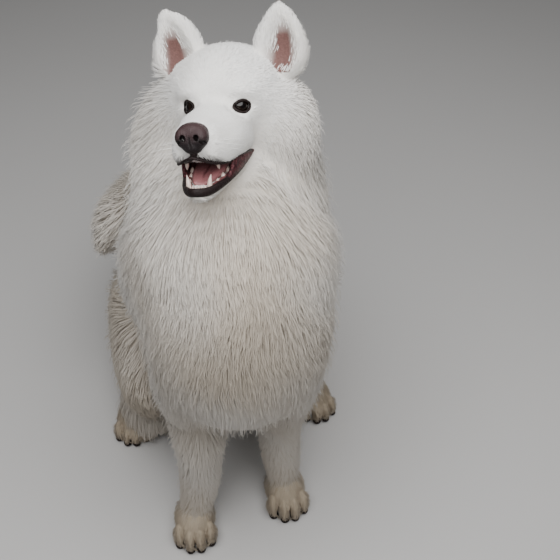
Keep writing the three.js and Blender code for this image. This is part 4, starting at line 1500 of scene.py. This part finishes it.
def add_clay(name, clay, material, slot, *nodes, softness=2):
    """A finished piece from fine clay, its parts evened out into a "tint" attribute."""
    points, quads, part = clay.surface()
    piece = add_body(name, (points, quads, np.empty((0, 3), int)), material, slot, *nodes)
    # For the tongue and the nose the evened-out parts carry painted shade in their groove and nostrils;
    # for the lips and gums they are real colours.
    tint_and_shade = smoothed(part[:, None], edges_of(quads), softness)[:, 0]
    add_values(piece.data, "tint_and_shade", tint_and_shade)
    return piece, points


# Eyes and eyelids

EYE_SIDES = 48


def eyeball(side):
    """A ball with the clear bulge of the cornea, and how far each point is off the gaze."""
    outward, ahead, upward = eye_axes(side)
    off = np.linspace(0.03, np.pi - 0.03, 40)
    turn = np.linspace(0, 2 * np.pi, EYE_SIDES, endpoint=False)[:, None]
    around = np.cos(turn) * outward + np.sin(turn) * upward
    way = np.cos(off)[:, None, None] * ahead + np.sin(off)[:, None, None] * around
    reach = EYE_RADIUS - 0.3 + 0.8 * np.exp(-((off / 0.5) ** 2))
    body = loft(eye_centre(side) + reach[:, None, None] * way)
    return body, np.append(np.repeat(off, EYE_SIDES), [0, np.pi])


def add_eyes():
    """Both eyeballs, with how far each point is off the gaze."""
    material = eye_material()
    for side, name in ((1, "left"), (-1, "right")):
        body, off = eyeball(side)
        piece = add_body(f"eyeball_{name}", body, material, "dark_eye", f"eye_{name}")
        add_values(piece.data, "gaze", off)


def add_eyelids():
    """Dark rims round both openings."""
    turn = np.linspace(0, 2 * np.pi, 72, endpoint=False)
    rims = []
    for side in SIDES:
        path = eye_edge(side, turn, 0.9, 1.7)
        rims.append(loop(path, path - eye_centre(side), 1.6, 1.4))
    add_body("eyelid_rims", joined(rims), lip_material("samoyed eye rims"), "lip_skin")


# Nose


def add_nose():
    """The nose leather, with its nostrils, their wings and the groove between them."""
    x, y, z = NOSE_CENTRE
    clay = fine_clay((-26, y - 22, z - 24), (26, y + 20, z + 24), 0.75)
    clay.add(egg((x, y, z - 1), (18.2, 12.4, 15)), 0, 1)
    clay.add(egg((0, y + 2, z + 6), (15.5, 12, 8.5)), 0, 6)
    clay.add(egg((0, y - 2, z - 11), (9, 9, 7)), 0, 6)
    for side in SIDES:
        clay.add(egg((side * 10.5, y - 6, z), (7.6, 7.2, 9.5)), 0, 4)
        clay.cut(form(nostril_stations(side), 2.2, across=UPWARD, count=30), 1)
    clay.cut(egg((0, y - 13.8, z - 9), (0.9, 3.2, 12)), 1)
    piece, points = add_clay("nose_leather", clay, nose_material(), "nose_leather", "nose", softness=3)
    add_values(piece.data, "level", np.clip((points[:, 2] - z + 7) / 11, 0, 1))


def nostril_stations(side):
    """In from the front, then out and back to the slit in the side of the nose."""
    _, y, z = NOSE_CENTRE
    return [
        (side * 7.5, y - 17, z + 0.5, 4.4, 3.6),
        (side * 8.5, y - 9, z - 0.5, 4.0, 3.8),
        (side * 13.5, y - 9, z - 4.5, 2.6, 3.2),
        (side * 21, y - 5, z - 8, 1.4, 1.8),
    ]


# Mouth

LIP, FLESH, GUM = 0, 1, 2


def inward_line(half, inward, rise, height, thickness):
    """A line that runs inside a lip, for a gum."""
    return whole_lip([
        (max(x - inward, 0), y + inward * (x < 20), z + rise, height, thickness)
        for x, y, z, _, _ in half[1:]
    ])


def add_mouth_lining():
    """Both lips, the gums and the stretched flesh at the mouth's corners."""
    clay = fine_clay((-44, -104, -102), (44, 34, -40), 1.05)
    clay.add(form(inward_line(LOWER_LIP, 5.5, -1, 4.5, 3.4), 6, across=UPWARD, count=120), GUM, 1)
    clay.add(form(inward_line(UPPER_LIP, 8, 5, 5, 3.6), 6, across=UPWARD, count=120), LIP, 1)
    upper = np.array(UPPER_LIP)
    lower = np.array(LOWER_LIP)
    for side in SIDES:
        web = []
        for share in np.linspace(0, 0.52, 30):
            high = flow(upper, [share])[0]
            low = flow(lower, [share])[0]
            drop = np.clip((share - 0.38) / 0.14, 0, 1)
            top = high * (1 - drop) + low * drop
            middle = (top + low) / 2
            half = max((top[2] - low[2]) / 2 + 1, 2.5)
            web += egg((side * (middle[0] - 1), middle[1], middle[2]), (3.0, 5, half))
        clay.add(web, FLESH, 3)
    clay.add(form(whole_lip(UPPER_LIP), 8, across=UPWARD, count=140), LIP, 1.5)
    clay.add(form(whole_lip(LOWER_LIP), 8, across=UPWARD, count=140), LIP, 1.5)
    add_clay("mouth_lining", clay, lining_material(), "lip_skin", softness=3)


def add_tongue():
    """The tongue, with raised edges and a groove along its middle."""
    clay = fine_clay((-26, -84, -96), (26, 34, -50), 1.1)
    stations = np.array([
        (0, 28, -63, 18, 6),
        (0, -8, -66.5, 20, 6.5),
        (0, -44, -74, 17, 5.5),
        (0, -72, -82, 11.5, 4.2),
    ], float)
    clay.add(form(stations, 3, count=60), 0, 1)
    for side in SIDES:
        edge = stations.copy()
        edge[:, 0] = side * (stations[:, 3] - 5)
        edge[:, 2] += 2.5
        edge[:, 3:] = (4.5, 3.2)
        clay.add(form(edge, 3, count=60), 0, 4)
    groove = stations.copy()
    groove[:, 2] += stations[:, 4] + 2.2
    groove[:, 3:] = (1.4, 3.6)
    clay.cut(form(groove, 3, count=60), 1)
    add_clay("tongue_flesh", clay, tongue_material(), "tongue_skin", "tongue", softness=5)


def tooth(root, height, radius, lean=(0, 0)):
    """A pointed tooth with a slight curve; a negative height points down."""
    x, y, z = root
    rows = []
    for share, size in ((-0.2, 0.9), (0, 1), (0.4, 0.86), (0.75, 0.5), (1, 0.2)):
        bend = share**2 if share > 0 else 0
        middle = (x + lean[0] * bend, y + lean[1] * bend, z + height * share)
        rows.append((*middle, radius * size, radius * size))
    return tube(rows, around=10, steps=10)


def add_teeth():
    """Incisors, canines and the first cheek teeth of both jaws."""
    teeth = []
    for place in np.arange(-2.5, 3):
        teeth.append(tooth((place * 3.4, -85.5 + abs(place) * 1.3, -86), 6.5, 1.9, (0, -0.5)))
        teeth.append(tooth((place * 3.6, -78 + abs(place) * 1.4, -50), -4, 1.8, (0, -0.5)))
    for side in SIDES:
        teeth.append(tooth((side * 12, -77, -84), 15, 3.2, (side * 2.2, 1.5)))
        teeth.append(tooth((side * 18, -60, -59), -8, 2.6, (side * 1, 1)))
        for place in range(3):
            lower_root = (side * (16 + place * 2.6), -60 + place * 13, -81 + place * 3.6)
            teeth.append(tooth(lower_root, 4.5 + place, 2.8 + 0.3 * place))
            upper_root = (side * (21 + place * 2.2), -56 + place * 14, -54)
            teeth.append(tooth(upper_root, -6 - place, 2.6 + 0.4 * place))
    add_body("teeth", joined(teeth), tooth_material(), "tooth_enamel")


# Claws, pads and whiskers


def horn_tree():
    """Geometry Nodes that put a tapered, curved horn on every point of a mesh, along its "way"."""
    name = "Tapered Horns"
    if name in bpy.data.node_groups:
        return bpy.data.node_groups[name]
    tree = bpy.data.node_groups.new(name, "GeometryNodeTree")
    for label, kind in (
        ("Points", "NodeSocketGeometry"), ("Length", "NodeSocketFloat"), ("Radius", "NodeSocketFloat"),
        ("Bend", "NodeSocketFloat"), ("Variation", "NodeSocketFloat"), ("Seed", "NodeSocketInt"),
        ("Material", "NodeSocketMaterial"),
    ):
        tree.interface.new_socket(label, in_out="INPUT", socket_type=kind)
    tree.interface.new_socket("Horns", in_out="OUTPUT", socket_type="NodeSocketGeometry")
    given = tree.nodes.new("NodeGroupInput").outputs
    made = tree.nodes.new("NodeGroupOutput").inputs

    def along(across, forward):
        return add_node(tree, "ShaderNodeCombineXYZ", {"X": across, "Z": forward}).outputs[0]

    half = computed(tree, "MULTIPLY", given["Length"], 0.55)
    off = computed(tree, "MULTIPLY", given["Length"], given["Bend"])
    line = add_node(tree, "GeometryNodeCurveQuadraticBezier", {
        "Resolution": 7, "Start": (0, 0, 0), "Middle": along(0.0, half),
        "End": along(off, given["Length"]),
    })
    place = add_node(tree, "GeometryNodeSplineParameter").outputs["Factor"]
    left = computed(tree, "MAXIMUM", computed(tree, "SUBTRACT", 1.0, place), 0.04)
    taper = computed(tree, "MULTIPLY", computed(tree, "POWER", left, 0.7), given["Radius"])
    ring = add_node(tree, "GeometryNodeCurvePrimitiveCircle", {"Resolution": 8, "Radius": 1.0})
    body = add_node(tree, "GeometryNodeCurveToMesh", {
        "Fill Caps": True, "Curve": line.outputs["Curve"], "Scale": taper,
        "Profile Curve": ring.outputs["Curve"],
    })
    turn = (0, 0, 0)
    for name, axis, pivot in (("way", "Z", "AUTO"), ("bend", "X", "Z")):
        vector = add_node(
            tree, "GeometryNodeInputNamedAttribute", {"Name": name}, data_type="FLOAT_VECTOR",
        )
        turn = add_node(
            tree, "FunctionNodeAlignRotationToVector",
            {"Vector": vector.outputs["Attribute"], "Rotation": turn}, axis=axis, pivot_axis=pivot,
        ).outputs["Rotation"]
    least = computed(tree, "SUBTRACT", 1.0, given["Variation"])
    most = computed(tree, "ADD", 1.0, given["Variation"])
    chance = add_node(
        tree, "FunctionNodeRandomValue", {2: least, 3: most, "Seed": given["Seed"]}, data_type="FLOAT",
    )
    spread = add_node(tree, "GeometryNodeInstanceOnPoints", {
        "Points": given["Points"], "Instance": body.outputs["Mesh"], "Rotation": turn,
        "Scale": chance.outputs[1],
    })
    whole = add_node(tree, "GeometryNodeRealizeInstances", {"Geometry": spread.outputs["Instances"]})
    finish = add_node(tree, "GeometryNodeSetMaterial", {
        "Geometry": whole.outputs["Geometry"], "Material": given["Material"],
    })
    feed(tree, made["Horns"], finish.outputs["Geometry"])
    return tree


def grow_horns(name, roots, ways, bends, slot, **values):
    """A piece of realised horns that grow from points along given directions."""
    holder = new_piece(name + "_points", roots)
    add_vectors(holder.data, "way", ways)
    add_vectors(holder.data, "bend", bends)
    tree = horn_tree()
    modifier = holder.modifiers.new("horns", "NODES")
    modifier.node_group = tree
    for item in tree.interface.items_tree:
        if item.in_out == "INPUT" and item.name in values:
            modifier[item.identifier] = values[item.name]
    shape = holder.evaluated_get(bpy.context.evaluated_depsgraph_get())
    mesh = bpy.data.meshes.new_from_object(shape)
    mesh.name = name
    holder.modifiers.clear()
    bpy.data.objects.remove(holder)
    for attribute in ("way", "bend"):
        if attribute in mesh.attributes:
            mesh.attributes.remove(mesh.attributes[attribute])
    mesh.polygons.foreach_set("use_smooth", np.ones(len(mesh.polygons), bool))
    piece = add_object(name, mesh)
    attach(piece, "root")


def add_claws():
    """A claw at the front of each toe."""
    roots, ways = [], []
    for side in SIDES:
        for _, place, (width, length, height), turn in paws(side):
            spin = turn_about("Z", turn)
            for across, front in toes(width, length):
                roots.append(spin @ (across, front - length * 0.11, height * 0.26) + (*place, 0))
                ways.append(spin @ unit((0, -1, -0.4)))
    down = np.tile((0, 0, -1.0), (len(roots), 1))
    grow_horns(
        "claws", np.array(roots), np.array(ways), down, "claw_horn",
        Length=CLAW_LENGTH / 1000, Radius=CLAW_RADIUS / 1000, Bend=0.3, Variation=0.1, Seed=4,
        Material=horn_material(),
    )


def add_pads():
    """The dark soles under the toes and behind them."""
    pads = []
    for side in SIDES:
        for _, place, (width, length, _), turn in paws(side):
            spin = turn_about("Z", turn)
            spots = [(across, front - length * 0.09, width * 0.11, length * 0.1)
                     for across, front in toes(width, length)]
            spots.append((0, -length * 0.02, width * 0.26, length * 0.14))
            for across, front, wide, deep in spots:
                line = [spin @ (across, front + step * deep, 4.4) + (*place, 0) for step in (-1, 0, 1)]
                pads.append(tube([(*spot, wide, 4.2) for spot in line], around=14, steps=10))
    add_body("paw_pads", joined(pads), lip_material("samoyed paw pads"), "nose_leather", head=False)


def add_whiskers():
    """Three short rows of whiskers on each side of the muzzle."""
    draw = np.random.default_rng(21)
    roots, ways = [], []
    for side in SIDES:
        for row in range(3):
            for step in range(2):
                y = -80 + 14 * step + 3 * row
                roots.append((side * (19 + 4.5 * step + 1.5 * row), y, -34 - 5 * row))
                ways.append((side, -0.45 + 0.3 * step, 0.1 - 0.05 * row))
    roots = from_head(np.array(roots, float) + draw.normal(0, 0.7, (len(roots), 3)))
    ways = unit(np.array(ways) + draw.normal(0, 0.07, (len(ways), 3))) @ HEAD_TURN.T
    bends = np.tile(HEAD_TURN @ (0, 0.8, -0.6), (len(roots), 1))
    grow_horns(
        "whiskers", roots, ways, bends, "white_coat",
        Length=WHISKER_LENGTH / 1000, Radius=WHISKER_RADIUS / 1000, Bend=0.2, Variation=0.25,
        Seed=6, Material=whisker_material(),
    )


def add_floor(settings):
    """A wide pale floor."""
    corners = [(-1, -1, 0), (1, -1, 0), (1, 1, 0), (-1, 1, 0)]
    material = floor_material(settings.floor)
    new_piece("studio_floor", np.array(corners) * FLOOR_HALF, [(0, 1, 2, 3)], (), material)


def aim(location, target):
    """A placement that looks from one design point to another."""
    start = Vector(placed(location))
    way = Vector(placed(target)) - start
    return Matrix.Translation(start) @ way.to_track_quat("-Z", "Y").to_matrix().to_4x4()


def add_lights(settings):
    """A large soft key from above and in front, and light from all round."""
    light = bpy.data.lights.new("key_light", "AREA")
    light.shape = "DISK"
    light.size = LIGHT_SIZE
    light.energy = settings.key_power
    add_object("key_light", light).matrix_world = aim(LIGHT_PLACE, LIGHT_TARGET)
    world = bpy.data.worlds.new("studio")
    world.use_nodes = True
    background = world.node_tree.nodes["Background"].inputs
    background["Color"].default_value = (1, 1, 1, 1)
    background["Strength"].default_value = settings.fill
    bpy.context.scene.world = world


def add_camera():
    """The camera at the photograph's place and angle."""
    camera = bpy.data.cameras.new("camera")
    camera.lens = CAMERA_LENS
    camera.sensor_width = SENSOR_WIDTH
    yaw, pitch = math.radians(CAMERA_YAW), math.radians(CAMERA_PITCH)
    level = math.cos(pitch)
    ahead = np.array([math.sin(yaw) * level, math.cos(yaw) * level, -math.sin(pitch)])
    holder = add_object("camera", camera)
    holder.matrix_world = aim(CAMERA_PLACE, CAMERA_PLACE + 1000 * ahead)
    bpy.context.scene.camera = holder


# Settings that a user would change


class SamoyedCoatSettings(bpy.types.PropertyGroup):
    """Sizes and colours of the fur."""

    length: FloatProperty(
        name="Length", description="Share of the adult coat's length",
        default=1.0, min=0.3, max=1.5,
    )
    fullness: FloatProperty(
        name="Fullness", description="How far the tips stand out from the skin",
        default=1.0, min=0.3, max=1.5,
    )
    density: FloatProperty(
        name="Density", description="Share of the full number of tufts",
        default=1.0, min=0.05, max=1.3,
    )
    locks: FloatProperty(
        name="Locks", description="How much tufts draw together at their tips",
        default=0.12, min=0.0, max=1.0, subtype="FACTOR",
    )
    white: FloatVectorProperty(
        name="White", description="Colour of the coat's tips",
        default=(0.87, 0.86, 0.84), subtype="COLOR", size=3,
    )
    # The biscuit colour is dark enough to be painted shade as well as the coat's warmer tone.
    cream_and_shade: FloatVectorProperty(
        name="Cream And Shade", description="Colour of the warmer parts of the coat",
        default=(0.475, 0.4, 0.305), subtype="COLOR", size=3,
    )
    # Painted shade deep in the coat, laid on the tufts' roots and on the skin between them.
    root: FloatVectorProperty(
        name="Root", description="Colour deep in the coat",
        default=(0.87, 0.85, 0.81), subtype="COLOR", size=3,
    )


class SamoyedStageSettings(bpy.types.PropertyGroup):
    """Studio light and floor."""

    key_power: FloatProperty(
        name="Key Light", description="Power of the large soft light",
        default=32.5, subtype="POWER",
    )
    fill: FloatProperty(
        name="Fill", description="Strength of the light from all round", default=0.07,
    )
    floor: FloatVectorProperty(
        name="Floor", description="Colour of the floor",
        default=(0.62, 0.61, 0.6), subtype="COLOR", size=3,
    )


class SAMOYED_OT_stage(bpy.types.Operator):
    """Add the floor, the soft lights and the camera"""

    bl_idname = "samoyed.stage"
    bl_label = "Add Stage"

    def execute(self, context):
        settings = context.scene.samoyed_stage
        add_floor(settings)
        add_lights(settings)
        add_camera()
        return {"FINISHED"}


class SAMOYED_OT_skin(bpy.types.Operator):
    """Add the one skin that runs over the whole body"""

    bl_idname = "samoyed.skin"
    bl_label = "Add Skin"

    def execute(self, context):
        add_skin(context.scene.samoyed_coat)
        return {"FINISHED"}


class SAMOYED_OT_claws(bpy.types.Operator):
    """Add the claws and the pads under the toes"""

    bl_idname = "samoyed.claws"
    bl_label = "Add Claws"

    def execute(self, context):
        add_claws()
        add_pads()
        return {"FINISHED"}


class SAMOYED_OT_whiskers(bpy.types.Operator):
    """Add the whiskers"""

    bl_idname = "samoyed.whiskers"
    bl_label = "Add Whiskers"

    def execute(self, context):
        add_whiskers()
        return {"FINISHED"}


class SAMOYED_OT_coat(bpy.types.Operator):
    """Grow the coat on the skin, in joined pieces of curved tufts"""

    bl_idname = "samoyed.coat"
    bl_label = "Add Coat"

    def execute(self, context):
        settings = context.scene.samoyed_coat
        grow_coat(bpy.data.objects["skin"], settings, coat_material(settings))
        return {"FINISHED"}


class SAMOYED_OT_eyes(bpy.types.Operator):
    """Add both eyes"""

    bl_idname = "samoyed.eyes"
    bl_label = "Add Eyes"

    def execute(self, context):
        add_eyes()
        return {"FINISHED"}


class SAMOYED_OT_eyelids(bpy.types.Operator):
    """Add the dark rims of the eyelids"""

    bl_idname = "samoyed.eyelids"
    bl_label = "Add Eyelids"

    def execute(self, context):
        add_eyelids()
        return {"FINISHED"}


class SAMOYED_OT_nose(bpy.types.Operator):
    """Add the nose leather"""

    bl_idname = "samoyed.nose"
    bl_label = "Add Nose"

    def execute(self, context):
        add_nose()
        return {"FINISHED"}


class SAMOYED_OT_mouth(bpy.types.Operator):
    """Add the lips, gums, tongue and teeth"""

    bl_idname = "samoyed.mouth"
    bl_label = "Add Mouth"

    def execute(self, context):
        add_mouth_lining()
        add_tongue()
        add_teeth()
        return {"FINISHED"}


class SAMOYED_PT_panel(bpy.types.Panel):
    """The samoyed's pieces and settings"""

    bl_label = "Samoyed"
    bl_space_type = "VIEW_3D"
    bl_region_type = "UI"
    bl_category = "Samoyed"

    def draw(self, context):
        for operator in PIECE_OPERATORS:
            self.layout.operator(operator.bl_idname)
        for group in (context.scene.samoyed_coat, context.scene.samoyed_stage):
            for name in group.__annotations__:
                self.layout.prop(group, name)


PIECE_OPERATORS = (
    SAMOYED_OT_stage, SAMOYED_OT_skin, SAMOYED_OT_eyes, SAMOYED_OT_eyelids, SAMOYED_OT_nose,
    SAMOYED_OT_mouth, SAMOYED_OT_claws, SAMOYED_OT_whiskers, SAMOYED_OT_coat,
)
CLASSES = (SamoyedCoatSettings, SamoyedStageSettings, *PIECE_OPERATORS, SAMOYED_PT_panel)


def register():
    for each in CLASSES:
        bpy.utils.register_class(each)
    bpy.types.Scene.samoyed_coat = PointerProperty(type=SamoyedCoatSettings)
    bpy.types.Scene.samoyed_stage = PointerProperty(type=SamoyedStageSettings)


def unregister():
    del bpy.types.Scene.samoyed_stage
    del bpy.types.Scene.samoyed_coat
    for each in reversed(CLASSES):
        bpy.utils.unregister_class(each)


def main():
    """Build every piece."""
    register()
    bpy.ops.samoyed.stage()
    bpy.ops.samoyed.skin()
    bpy.ops.samoyed.eyes()
    bpy.ops.samoyed.eyelids()
    bpy.ops.samoyed.nose()
    bpy.ops.samoyed.mouth()
    bpy.ops.samoyed.claws()
    bpy.ops.samoyed.whiskers()
    bpy.ops.samoyed.coat()


if __name__ == "__main__":
    main()
